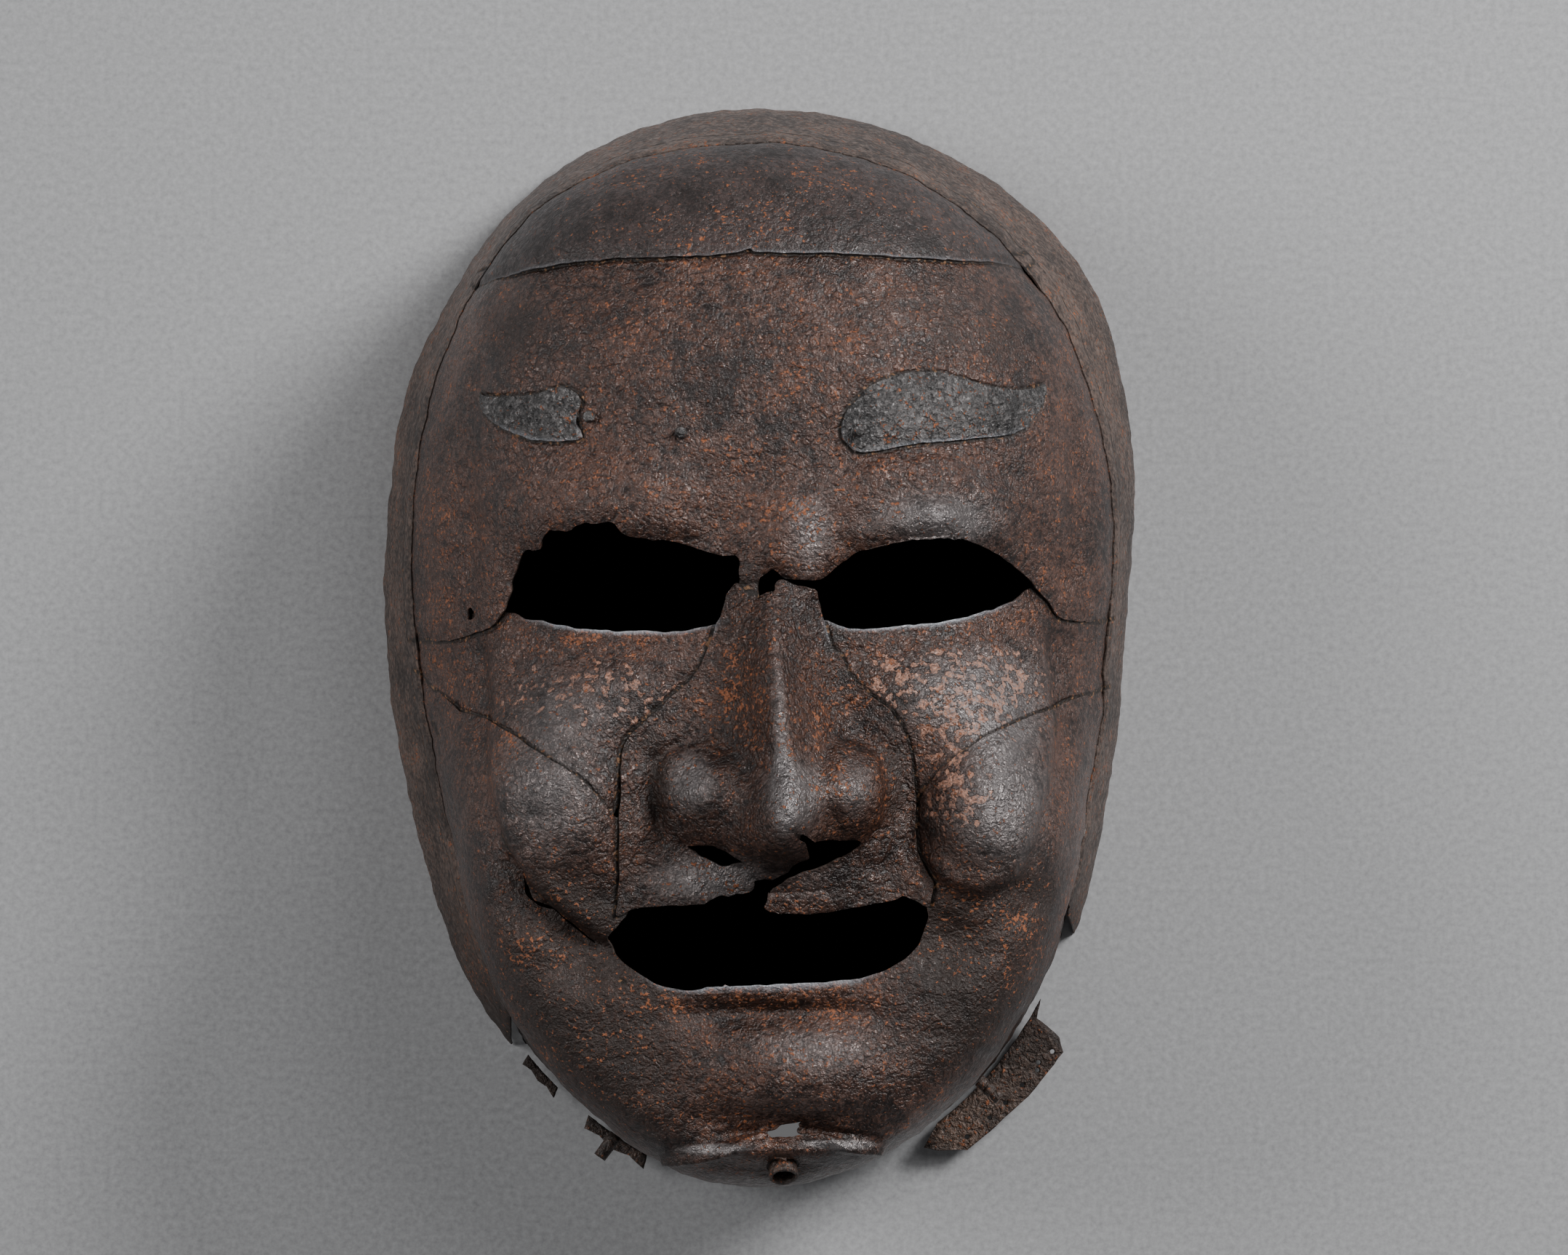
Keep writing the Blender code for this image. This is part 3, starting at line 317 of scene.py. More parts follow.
def surface_height(x, y):
    """Height of the bare face surface over a place, out to the rear rim."""
    angle = np.arctan2(y, x)
    radius = np.hypot(x, y)
    seam = seam_radius(angle)
    seam_height = round_curve(3, angle) * FRONT_DEPTH
    up = np.sin(angle) ** 2
    weights = {"side": 1.0 - up, "up": up * (y > 0), "down": up * (y <= 0)}
    power = sum(weights[key] * ROUNDING[key][0] for key in ROUNDING)
    root = sum(weights[key] * ROUNDING[key][1] for key in ROUNDING)
    reach = np.clip(radius / seam, 0.0, 1.0)
    face = seam_height + (FRONT_DEPTH - seam_height) * (1.0 - reach**power) ** (1.0 / root)
    raised = nose_height(x, y) + swellings(x, y, RELIEF) * FRONT_DEPTH
    face = face + raised * (1.0 - blend(RELIEF_FADE, 1.0, reach))
    along_band = np.maximum(radius - seam, 0.0) / (rim_radius(angle) - seam)
    return np.where(radius <= seam, face, seam_height * (1.0 - along_band))


def surface_normal(x, y):
    step = NORMAL_STEP
    across = (surface_height(x + step, y) - surface_height(x - step, y)) / (2 * step)
    up = (surface_height(x, y + step) - surface_height(x, y - step)) / (2 * step)
    normal = np.stack([-across, -up, np.ones_like(across)], axis=-1)
    return normal / np.linalg.norm(normal, axis=-1, keepdims=True)


def unroll(x, y):
    """Place on the flat pattern of the face, where the steep walls are laid out wide."""
    angle = np.arctan2(y, x)
    radius = np.hypot(x, y)
    seam = seam_radius(angle)
    half_turn = WALL_CROWDING * math.pi / 2
    inner = np.arcsin(np.clip(radius / seam, 0.0, 1.0) * math.sin(half_turn)) / half_turn * seam
    outer = seam + np.maximum(radius - seam, 0.0) / (rim_radius(angle) - seam) * BAND_WIDTH
    pattern = np.where(radius <= seam, inner, outer)
    return np.stack([pattern * np.cos(angle), pattern * np.sin(angle)], axis=-1)


def roll_up(points):
    """Place in plan of points on the flat pattern."""
    angle = np.arctan2(points[:, 1], points[:, 0])
    pattern = np.hypot(points[:, 0], points[:, 1])
    seam = seam_radius(angle)
    half_turn = WALL_CROWDING * math.pi / 2
    inner = np.sin(np.clip(pattern / seam, 0.0, 1.0) * half_turn) / math.sin(half_turn) * seam
    outer = seam + (pattern - seam) / BAND_WIDTH * (rim_radius(angle) - seam)
    radius = np.where(pattern <= seam, inner, outer)
    return radius * np.cos(angle), radius * np.sin(angle)


FLATTEN_ROUNDS = 14
FLATTEN_EASE = 0.7


def flatten(points, lift):
    """Flat pattern of points that lie lift layers above the face surface."""
    x, y = points[:, 0], points[:, 1]
    for _ in range(FLATTEN_ROUNDS):
        shift = surface_normal(x, y)[:, :2] * (lift(x, y) * LAYER)[:, None]
        x = FLATTEN_EASE * (points[:, 0] - shift[:, 0]) + (1.0 - FLATTEN_EASE) * x
        y = FLATTEN_EASE * (points[:, 1] - shift[:, 1]) + (1.0 - FLATTEN_EASE) * y
    return unroll(x, y)


def level(layers):
    """A lift of so many layers all over a plate."""
    return lambda x, y: np.full_like(x, layers)


# Sharp creases and ridges hammered into the face. Columns: name, rise, half width, line of across and up.
CREASES = [
    ("nose_ridge", 0.00030, 0.0009, [(0.038, 0.012), (0.053, -0.094), (0.044, -0.164)]),
    ("wing_left_back", -0.00080, 0.0014, [
        (-0.171, -0.166), (-0.223, -0.177), (-0.254, -0.202), (-0.270, -0.241), (-0.249, -0.293),
        (-0.224, -0.332),
    ]),
    ("wing_left_inside", -0.00040, 0.0016, [(-0.094, -0.181), (-0.100, -0.236), (-0.091, -0.297)]),
    ("wing_right_back", -0.00080, 0.0014, [
        (0.212, -0.156), (0.264, -0.166), (0.303, -0.202), (0.315, -0.245), (0.299, -0.292),
        (0.265, -0.320),
    ]),
    ("wing_right_inside", -0.00040, 0.0016, [(0.165, -0.181), (0.161, -0.235), (0.170, -0.289)]),
    ("wing_left_crest", 0.00070, 0.0020, [(-0.200, -0.201), (-0.216, -0.244), (-0.200, -0.291)]),
    ("wing_right_crest", 0.00070, 0.0020, [(0.276, -0.200), (0.289, -0.243), (0.275, -0.287)]),
    ("glabella", 0.00060, 0.0022, [(0.083, 0.231), (0.060, 0.189), (0.051, 0.152)]),
    ("brow_crescent", 0.00115, 0.0034, [
        (0.104, 0.222), (0.158, 0.262), (0.257, 0.293), (0.356, 0.307), (0.464, 0.307),
    ]),
    ("brow_hollow", -0.00150, 0.0028, [
        (0.274, 0.222), (0.346, 0.252), (0.418, 0.272), (0.509, 0.250), (0.546, 0.223),
    ]),
    ("brow_knob", 0.00110, 0.0026, [(0.426, 0.222), (0.457, 0.230)]),
    ("temple_fold_left", -0.00060, 0.0028, [
        (-0.698, 0.486), (-0.720, 0.370), (-0.728, 0.242), (-0.710, 0.114),
    ]),
    ("temple_fold_right", -0.00060, 0.0028, [
        (0.774, 0.450), (0.797, 0.321), (0.796, 0.192), (0.773, 0.114),
    ]),
    ("cheek_fold_left", 0.00140, 0.0030, [
        (-0.653, -0.014), (-0.637, -0.140), (-0.617, -0.239), (-0.583, -0.332), (-0.536, -0.392),
        (-0.451, -0.452), (-0.371, -0.490),
    ]),
    ("beside_cheek_left", -0.00140, 0.0026, [
        (-0.696, -0.014), (-0.685, -0.141), (-0.668, -0.253), (-0.632, -0.346), (-0.585, -0.407),
    ]),
    ("cheek_fold_right", 0.00130, 0.0030, [
        (0.698, -0.014), (0.710, -0.116), (0.689, -0.215), (0.650, -0.301), (0.614, -0.357),
    ]),
    ("beside_cheek_right", -0.00130, 0.0026, [
        (0.753, 0.011), (0.763, -0.117), (0.741, -0.230), (0.703, -0.316),
    ]),
    ("cheek_fill_left", 0.00120, 0.0080, [(-0.433, -0.088), (-0.503, -0.188)]),
    ("cheek_fill_right", 0.00120, 0.0080, [(0.518, -0.089), (0.588, -0.176)]),
    ("cheek_foot_fill_right", 0.00090, 0.0065, [(0.500, -0.215), (0.545, -0.300)]),
    ("under_cheek_right", -0.00120, 0.0022, [
        (0.420, -0.383), (0.463, -0.420), (0.543, -0.439), (0.643, -0.409), (0.699, -0.347),
    ]),
    ("cheek_foot_right", 0.00090, 0.0020, [
        (0.445, -0.370), (0.484, -0.394), (0.548, -0.407), (0.620, -0.382),
    ]),
    ("under_cheek_left", -0.00120, 0.0020, [
        (-0.613, -0.371), (-0.563, -0.417), (-0.479, -0.467), (-0.380, -0.516),
    ]),
    ("chin_edge_left", 0.00150, 0.0008, [
        (-0.230, -0.889), (-0.127, -0.876), (-0.041, -0.861), (0.022, -0.848),
    ]),
    ("chin_edge_right", 0.00150, 0.0008, [
        (0.090, -0.848), (0.148, -0.848), (0.212, -0.860), (0.298, -0.868),
    ]),
    ("chin_fold_left", -0.00110, 0.0012, [(-0.210, -0.863), (-0.111, -0.853), (-0.012, -0.837)]),
    ("chin_fold_right", -0.00090, 0.0012, [(0.126, -0.831), (0.194, -0.837), (0.285, -0.846)]),
    ("sweat_hole_boss", 0.00050, 0.0018, [(0.065, -0.889), (0.071, -0.891)]),
    ("chin_lap_left", -0.00040, 0.0008, [(-0.405, -0.586), (-0.365, -0.640), (-0.356, -0.674)]),
]


# In metres, further than anything on the guard.
FAR = 1.0


def line_gap(x, y, line):
    """Distance from places to a broken line."""
    points = [(across * HALF_WIDTH, up * HALF_HEIGHT) for across, up in line]
    gap = np.full_like(x, FAR)
    for (x0, y0), (x1, y1) in zip(points[:-1], points[1:]):
        dx, dy = x1 - x0, y1 - y0
        t = np.clip(((x - x0) * dx + (y - y0) * dy) / (dx * dx + dy * dy), 0.0, 1.0)
        gap = np.minimum(gap, np.hypot(x - x0 - t * dx, y - y0 - t * dy))
    return gap


SWELL_SIZE = 0.030
SWELL_RISE = 0.00045
DENT_SIZE = 0.009
DENT_RISE = 0.00026
CRUMPLE_SIZE = 0.0042
CRUMPLE_DEPTH = 0.00034


def uneven(x, y):
    """Hammer marks, sags and creases of the whole guard, as a height on its surface.

    The third number of a noise's place only keeps it apart from the other noises.
    """
    swell = [noise.fractal((a / SWELL_SIZE, b / SWELL_SIZE, 0.3), 1.0, 2.0, 2) for a, b in zip(x, y)]
    dent = [noise.noise((a / DENT_SIZE, b / DENT_SIZE, 4.1)) for a, b in zip(x, y)]
    crumple = [noise.turbulence((a / CRUMPLE_SIZE, b / CRUMPLE_SIZE, 7.7), 3, False) for a, b in zip(x, y)]
    rise = SWELL_RISE * np.array(swell) + DENT_RISE * np.array(dent) - CRUMPLE_DEPTH * np.array(crumple)
    for _, height, half_width, line in CREASES:
        rise = rise + height * np.exp(-((line_gap(x, y, line) / half_width) ** 2))
    return rise


# The tear in the left cheek, as a line of across and up.
TEAR = [
    (-0.596, -0.372),
    (-0.583, -0.412),
    (-0.550, -0.440),
    (-0.507, -0.450),
    (-0.466, -0.474),
    (-0.400, -0.512),
]
TEAR_PULL = 0.80
TEAR_REACH = 0.0024


def close_tear(x, y):
    """Draws the lips of the torn left cheek together, as they lie in the real piece."""
    points = np.array(TEAR) * (HALF_WIDTH, HALF_HEIGHT)
    gap = line_gap(x, y, TEAR)
    middle = np.interp(x, points[:, 0], points[:, 1])
    slope = np.interp(x, points[:, 0], np.gradient(points[:, 1], points[:, 0]))
    over = (middle - y) / (1.0 + slope * slope)
    pull = TEAR_PULL * np.exp(-((gap / TEAR_REACH) ** 2))
    return x - pull * over * slope, y + pull * over


# Where the edges are most broken. Columns: across, up, half width, half height, turn, amount.
RAGGED = [
    (-0.42, 0.16, 0.30, 0.10, 0, 1.5),
    (-0.65, 0.06, 0.10, 0.10, 0, 0.8),
    (-0.02, 0.09, 0.14, 0.08, 0, 1.0),
    (-0.47, -0.45, 0.24, 0.14, -35, 0.5),
    (0.05, -0.36, 0.30, 0.10, 0, 0.8),
    (-0.05, -0.44, 0.22, 0.06, 0, 0.8),
    (0.06, -0.84, 0.14, 0.06, 0, 1.6),
    (-0.45, 0.41, 0.14, 0.08, 0, 0.6),
]
RAGGED_GAIN = 3.2
NIBBLE_SIZE = 0.0015
BITE_SIZE = 0.0042
EDGE_NIBBLE = 0.00015
EDGE_NIBBLE_DEPTH = 0.0011


def corrode(pattern, edge_gap):
    """Shifts a plate's edge on the pattern in and out, as rust has eaten it, most where RAGGED says."""
    fine = np.array([noise.noise_vector((a / NIBBLE_SIZE, b / NIBBLE_SIZE, 2.5))[:2] for a, b in pattern])
    broad = np.array([noise.noise_vector((a / BITE_SIZE, b / BITE_SIZE, 5.1))[:2] for a, b in pattern])
    depth = EDGE_NIBBLE * (1.0 + RAGGED_GAIN * swellings(*roll_up(pattern), RAGGED))
    return pattern + (fine + broad) * (depth * np.exp(-edge_gap / EDGE_NIBBLE_DEPTH))[:, None]


# Where the finish changes over the face, as soft ovals on it. Columns: across, up, half width, half
# height, turn in degrees, amount.
FINISH = {
    "rust": [
        (0.30, 0.36, 0.16, 0.12, 0, 0.40),
        (-0.35, 0.56, 0.24, 0.08, 0, 0.30),
        (0.07, 0.46, 0.60, 0.16, 0, 0.32),
        (0.57, 0.46, 0.24, 0.14, 0, 0.35),
        (0.05, 0.31, 0.30, 0.16, 0, 0.25),
        (-0.04, -0.09, 0.12, 0.19, 0, 0.80),
        (0.19, -0.08, 0.12, 0.17, 0, 0.80),
        (0.30, -0.20, 0.06, 0.08, 0, 0.70),
        (-0.43, 0.012, 0.34, 0.05, 0, 0.80),
        (0.44, 0.024, 0.30, 0.05, 6, 0.75),
        (-0.60, -0.52, 0.36, 0.28, -30, 0.28),
        (0.68, -0.54, 0.34, 0.26, 30, 0.30),
        (0.03, -0.61, 0.46, 0.06, 0, 0.90),
        (-0.05, -0.76, 0.60, 0.18, 0, 0.35),
        (-0.80, 0.10, 0.22, 0.45, 0, 0.30),
        (-0.62, -0.12, 0.22, 0.14, 0, 0.45),
        (0.05, -0.42, 0.40, 0.06, 0, 0.45),
    ],
    "patch": [
        (0.54, -0.075, 0.34, 0.14, 8, 1.20),
        (0.30, -0.08, 0.12, 0.10, -40, 0.60),
        (0.34, -0.013, 0.20, 0.06, 0, 0.45),
        (0.48, -0.25, 0.16, 0.15, 0, 1.10),
        (0.60, -0.38, 0.14, 0.06, 0, 0.40),
        (-0.38, -0.075, 0.38, 0.13, -8, 0.85),
        (-0.61, -0.09, 0.14, 0.09, 0, 0.40),
        (-0.29, -0.265, 0.13, 0.13, 0, 0.35),
        (0.60, 0.44, 0.12, 0.10, 0, 0.25),
        (0.05, 0.52, 0.40, 0.10, 0, 0.15),
    ],
    # Grey: lighter, more metallic iron, laid as a painted sheen where highlights fall on the cheeks, nose,
    # brows and chin, and as painted highlights along the chin crease.
    "grey": [
        (0.54, -0.08, 0.34, 0.15, 8, 0.90),
        (-0.40, -0.08, 0.36, 0.14, -8, 0.50),
        (-0.10, -0.865, 0.16, 0.014, 4, 1.50),
        (0.20, -0.858, 0.14, 0.014, -3, 1.50),
        (-0.16, -0.40, 0.24, 0.08, 0, 0.60),
        (0.20, 0.25, 0.20, 0.12, 0, 0.30),
        (0.60, -0.27, 0.22, 0.22, -14, 0.80),
        (-0.51, -0.25, 0.24, 0.24, 20, 0.66),
        (0.14, -0.69, 0.30, 0.09, 0, 0.60),
        (0.05, -0.79, 0.40, 0.06, 0, 0.45),
        (0.45, 0.22, 0.28, 0.09, 0, 0.80),
        (0.055, -0.14, 0.035, 0.24, 2, 0.70),
        (-0.165, -0.23, 0.11, 0.10, 0, 0.80),
        (0.09, -0.25, 0.13, 0.11, 0, 1.00),
        (0.24, -0.24, 0.09, 0.09, 0, 0.70),
        (0.05, -0.40, 0.40, 0.10, 0, 0.40),
        (0.12, 0.175, 0.10, 0.12, 0, 0.60),
        (-0.05, 0.38, 0.60, 0.20, 0, 0.25),
    ],
    # Dark coat and painted shade: a real dark coat over the jaw, and painted shade in the hollows, beside
    # the nose wings, under the cheeks, at the mouth corners and under the chin.
    "soot": [
        (-0.50, -0.66, 0.52, 0.36, -30, 1.30),
        (0.64, -0.60, 0.44, 0.34, 25, 1.20),
        (-0.29, -0.555, 0.16, 0.10, 0, 0.60),
        (0.45, -0.50, 0.13, 0.12, 0, 0.60),
        (0.63, -0.44, 0.18, 0.06, 20, 0.80),
        (-0.46, -0.44, 0.22, 0.07, -35, 0.80),
        (-0.245, -0.24, 0.05, 0.13, 0, 0.80),
        (0.33, -0.22, 0.05, 0.12, 0, 0.70),
        (-0.61, 0.56, 0.13, 0.10, 0, 0.75),
        (0.40, 0.60, 0.30, 0.06, 0, 0.35),
        (0.60, 0.54, 0.10, 0.07, 0, 0.65),
        (0.47, 0.54, 0.06, 0.05, 0, 0.50),
        (0.07, -0.95, 0.60, 0.10, 0, 0.55),
        (-0.03, 0.12, 0.08, 0.05, 0, 0.60),
        (-0.05, -0.09, 0.12, 0.18, 0, 0.50),
        (0.21, -0.08, 0.09, 0.15, 0, 0.30),
        (0.03, -0.625, 0.40, 0.03, 0, 0.50),
    ],
    # Painted highlights along the lower eye rims, the mouth's lower rim, the brow plates and the crown's
    # lower edge.
    "bright_rim": [
        (-0.55, 0.37, 0.20, 0.06, 0, 0.45),
        (0.455, 0.36, 0.34, 0.07, 0, 0.45),
        (-0.35, 0.035, 0.34, 0.035, 0, 1.00),
        (0.40, 0.045, 0.34, 0.045, 6, 1.00),
        (0.03, -0.580, 0.40, 0.040, 0, 0.90),
        (0.20, 0.680, 0.60, 0.030, 0, 0.30),
        (-0.55, 0.665, 0.30, 0.030, 0, 0.20),
    ],
}


def paint_finish(mesh):
    """Writes the amounts of FINISH on a mesh, point by point."""
    places = np.empty(len(mesh.vertices) * 3, np.float32)
    mesh.vertices.foreach_get("co", places)
    x, y, _ = places.astype(float).reshape(-1, 3).T
    for name, rows in FINISH.items():
        amounts = np.clip(swellings(x, y, rows), 0.0, 1.0).astype(np.float32)
        mesh.attributes.new(name, "FLOAT", "POINT").data.foreach_set("value", amounts)


def add_piece(name, shape, node, materials):
    """Puts a finished shape in the scene in place of a CAD node."""
    mesh = bpy.data.meshes.new(name)
    shape.to_mesh(mesh)
    shape.free()
    mesh.shade_smooth()
    paint_finish(mesh)
    for material in materials:
        mesh.materials.append(material)
    piece = bpy.data.objects.new(name, mesh)
    bpy.context.scene.collection.objects.link(piece)
    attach(piece, "root")
    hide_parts(node)
    return piece


MERGE_DISTANCE = 1e-6


def merged_copy(node):
    """A CAD node's mesh as one joined shape, ready to be worked on."""
    shape = bmesh.new()
    shape.from_mesh(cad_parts[node].data)
    bmesh.ops.remove_doubles(shape, verts=shape.verts[:], dist=MERGE_DISTANCE)
    return shape


OUTER_SKIN_DOT = 0.3
EDGE_SMOOTHINGS = 5
EDGE_THIN_DEPTH = 0.0016
EDGE_THINNING = 0.60
EDGE_DIP = 0.00050
EDGE_ROUNDING = 0.00018
EDGE_DEGREES = 50
EDGE_WIDTH = 0.00035
RIM_CLEARANCE = 0.0003
PATTERNS = {}


def beat_plate(name, node, lift, shown_lift, cuts, rank, materials, sheet=SHEET, form=uneven):
    """A plate worked finely from its CAD node: outer skin, worn edge, hammer marks, then its thickness.

    The node lies lift layers up, with room between plates. Here each lap is closed down to shown_lift.
    A plate's edge leaves its grime and painted shade on every plate of lower rank.
    """
    shape = merged_copy(node)
    middles = np.array([face.calc_center_median() for face in shape.faces])
    facing = np.array([face.normal for face in shape.faces])
    outward = surface_normal(middles[:, 0], middles[:, 1])
    hidden = [face for face, dot in zip(shape.faces, (facing * outward).sum(axis=1)) if dot < OUTER_SKIN_DOT]
    bmesh.ops.delete(shape, geom=hidden, context="FACES")
    corners = np.array([vert.co for vert in shape.verts])
    for vert, place in zip(shape.verts, flatten(corners, lift)):
        vert.co = (*place, 0.0)
    bmesh.ops.subdivide_edges(shape, edges=shape.edges[:], cuts=cuts, use_grid_fill=True)
    rim = [vert for vert in shape.verts if vert.is_boundary]
    for _ in range(EDGE_SMOOTHINGS):
        ends = [[edge.other_vert(vert).co for edge in vert.link_edges if edge.is_boundary] for vert in rim]
        eased = [(vert.co * 2 + two[0] + two[-1]) / 4 for vert, two in zip(rim, ends)]
        for vert, place, two in zip(rim, eased, ends):
            vert.co = place if len(two) == 2 else vert.co
    tree = kdtree.KDTree(len(rim))
    for n, vert in enumerate(rim):
        tree.insert(vert.co, n)
    tree.balance()
    edge_gap = np.array([tree.find(vert.co)[2] for vert in shape.verts])
    pattern = corrode(np.array([vert.co[:2] for vert in shape.verts]), edge_gap)
    x, y = close_tear(*roll_up(pattern))
    base = np.stack([x, y, surface_height(x, y)], axis=-1)
    near_edge = np.exp(-((edge_gap / EDGE_THIN_DEPTH) ** 2))
    raised = shown_lift(x, y) * LAYER + form(x, y) - EDGE_DIP * near_edge
    places = base + surface_normal(x, y) * raised[:, None]
    for vert, place in zip(shape.verts, places):
        vert.co = (place[0], place[1], max(place[2], RIM_CLEARANCE))
    shape.normal_update()
    piece = add_piece(name, shape, node, materials)
    PATTERNS[name] = (rank, pattern, pattern[edge_gap == 0.0])
    edge = np.exp(-((edge_gap / EDGE_WIDTH) ** 2)).astype(np.float32)
    piece.data.attributes.new("edge", "FLOAT", "POINT").data.foreach_set("value", edge)
    group = piece.vertex_groups.new(name="thickness")
    for n, thickness in enumerate(1.0 - EDGE_THINNING * near_edge):
        group.add([n], thickness, "REPLACE")
    solidify = piece.modifiers.new("thickness", "SOLIDIFY")
    solidify.thickness = sheet
    solidify.offset = -1.0
    solidify.vertex_group = "thickness"
    solidify.material_offset_rim = 1
    worn = piece.modifiers.new("worn_edge", "BEVEL")
    worn.width = EDGE_ROUNDING
    worn.segments = 2
    worn.limit_method = "ANGLE"
    worn.angle_limit = math.radians(EDGE_DEGREES)


def math_of(tree, operation, first, second=0.0, third=0.0):
    """The result of a Math node."""
    return add_node(tree, "ShaderNodeMath", {0: first, 1: second, 2: third}, operation=operation).outputs[0]


def noise_of(tree, places, size, detail, rough):
    """Noise whose features are about size metres wide, from 0 to 1."""
    sockets = {"Vector": places, "Scale": 1.0 / size, "Detail": detail, "Roughness": rough}
    return add_node(tree, "ShaderNodeTexNoise", sockets).outputs["Fac"]


def mask_of(tree, value, low, high):
    """0 to 1 as value goes from low to high, smoothly."""
    sockets = {"Value": value, "From Min": low, "From Max": high}
    node = add_node(tree, "ShaderNodeMapRange", sockets, interpolation_type="SMOOTHSTEP")
    return node.outputs["Result"]


def new_group(name, wanted, given):
    """A shader node group with named inputs and outputs."""
    tree = bpy.data.node_groups.new(name, "ShaderNodeTree")
    for label, kind in wanted:
        tree.interface.new_socket(label, in_out="INPUT", socket_type=kind)
    for label, kind in given:
        tree.interface.new_socket(label, in_out="OUTPUT", socket_type=kind)
    return tree, tree.nodes.new("NodeGroupInput").outputs, tree.nodes.new("NodeGroupOutput").inputs


COLOUR, NUMBER, PLACE = "NodeSocketColor", "NodeSocketFloat", "NodeSocketVector"
BEND_SCALE = 400.0
BEND_REACH = 0.0022
CELL_SCALE = 430.0
DEEP_RUST = (0.085, 0.026, 0.009, 1.0)
BRIGHT_RUST = (0.28, 0.090, 0.032, 1.0)
PINK_RUST = (0.44, 0.215, 0.140, 1.0)
GREY_SKIN = (0.235, 0.215, 0.212, 1.0)
SOOT = (0.016, 0.0075, 0.0045, 1.0)
SEAM_GRIME = (0.010, 0.006, 0.004, 1.0)
SEAM_RUST = (0.22, 0.115, 0.055, 1.0)
iron_group, wanted, given = new_group(
    "old_rusted_iron",
    [
        ("Places", PLACE),
        ("Dark iron", COLOUR),
        ("Light iron", COLOUR),
        ("Rust", NUMBER),
        ("Patch", NUMBER),
        ("Grey", NUMBER),
        ("Soot", NUMBER),
        ("Seam", NUMBER),
        ("Roughness", NUMBER),
    ],
    [("Colour", COLOUR), ("Roughness", NUMBER), ("Metallic", NUMBER), ("Height", NUMBER)],
)
tree = iron_group
places = wanted["Places"]

# The numbers in the lines below are weights of one noise in a mix, the bounds between which a layer comes
# in, and how much of it shows.

# Leathery skin: dark and light iron in clouds, mottles and fine grain, with deep rust stains and cracks.
cloud = noise_of(tree, places, size=0.020, detail=3.0, rough=0.55)
mottle = noise_of(tree, places, size=0.0045, detail=4.0, rough=0.60)
leather = noise_of(tree, places, size=0.0013, detail=4.0, rough=0.62)
grain = noise_of(tree, places, size=0.0006, detail=2.0, rough=0.60)
speck = noise_of(tree, places, size=0.0012, detail=2.0, rough=0.50)
flake = noise_of(tree, places, size=0.0024, detail=3.0, rough=0.55)
bend_sockets = {"Vector": places, "Scale": BEND_SCALE, "Detail": 2.0}
bend = add_node(tree, "ShaderNodeTexNoise", bend_sockets).outputs["Color"]
bend = add_node(tree, "ShaderNodeVectorMath", {0: bend, "Scale": BEND_REACH}, operation="SCALE").outputs[0]
bent = add_node(tree, "ShaderNodeVectorMath", {0: places, 1: bend}, operation="ADD").outputs[0]
cell_sockets = {"Vector": bent, "Scale": CELL_SCALE}
cells = add_node(tree, "ShaderNodeTexVoronoi", cell_sockets, feature="DISTANCE_TO_EDGE")
crack = math_of(tree, "SUBTRACT", 1.0, mask_of(tree, cells.outputs["Distance"], 0.0, 0.16))
crack = math_of(tree, "MULTIPLY", crack, mask_of(tree, mottle, 0.42, 0.56))
tone = math_of(tree, "MULTIPLY_ADD", cloud, 0.35, math_of(tree, "MULTIPLY", mottle, 0.40))
tone = math_of(tree, "MULTIPLY_ADD", leather, 0.45, tone)
tone = math_of(tree, "MULTIPLY_ADD", grain, 0.25, tone)
colour = mixed(tree, mask_of(tree, tone, 0.60, 0.85), wanted["Dark iron"], wanted["Light iron"])
stain = math_of(tree, "MULTIPLY", wanted["Rust"], mask_of(tree, mottle, 0.38, 0.58))
colour = mixed(tree, math_of(tree, "MULTIPLY", stain, 0.55), colour, DEEP_RUST)
colour = mixed(tree, math_of(tree, "MULTIPLY", crack, 0.55), colour, wanted["Dark iron"])

# Grey sheen: bare grey iron with more metal, its lighter colour a painted sheen where the highlights fall.
grey_level = math_of(tree, "MULTIPLY_ADD", leather, 0.8, wanted["Grey"])
grey_level = math_of(tree, "MULTIPLY_ADD", mottle, 1.2, grey_level)
grey_mask = math_of(tree, "MULTIPLY", mask_of(tree, grey_level, 1.10, 1.90), wanted["Grey"])
colour = mixed(tree, grey_mask, colour, GREY_SKIN)
colour = mixed(tree, math_of(tree, "MULTIPLY", crack, 0.35), colour, wanted["Dark iron"])

# Flakes: thin salmon patches with dark rims, where an old coat still holds.
patch_level = math_of(tree, "MULTIPLY", math_of(tree, "MINIMUM", wanted["Patch"], 1.0), 0.20)
patch_level = math_of(tree, "MULTIPLY_ADD", flake, 0.70, patch_level)
patch_level = math_of(tree, "MULTIPLY_ADD", leather, 0.40, patch_level)
patch_mask = mask_of(tree, patch_level, 0.742, 0.752)
patch_rim = math_of(tree, "SUBTRACT", mask_of(tree, patch_level, 0.712, 0.742), patch_mask)
pink = mixed(tree, mask_of(tree, grain, 0.35, 0.65), PINK_RUST, colour)
colour = mixed(tree, math_of(tree, "MULTIPLY", patch_mask, 0.90), colour, pink)
colour = mixed(tree, math_of(tree, "MULTIPLY", patch_rim, 0.60), colour, wanted["Dark iron"])

# Soot and painted shade: a dull dark coat over the jaw, and painted shade in the hollows and creases.
soot_mask = math_of(tree, "MULTIPLY", wanted["Soot"], mask_of(tree, mottle, 0.22, 0.52))
colour = mixed(tree, math_of(tree, "MULTIPLY", soot_mask, 0.88), colour, SOOT)

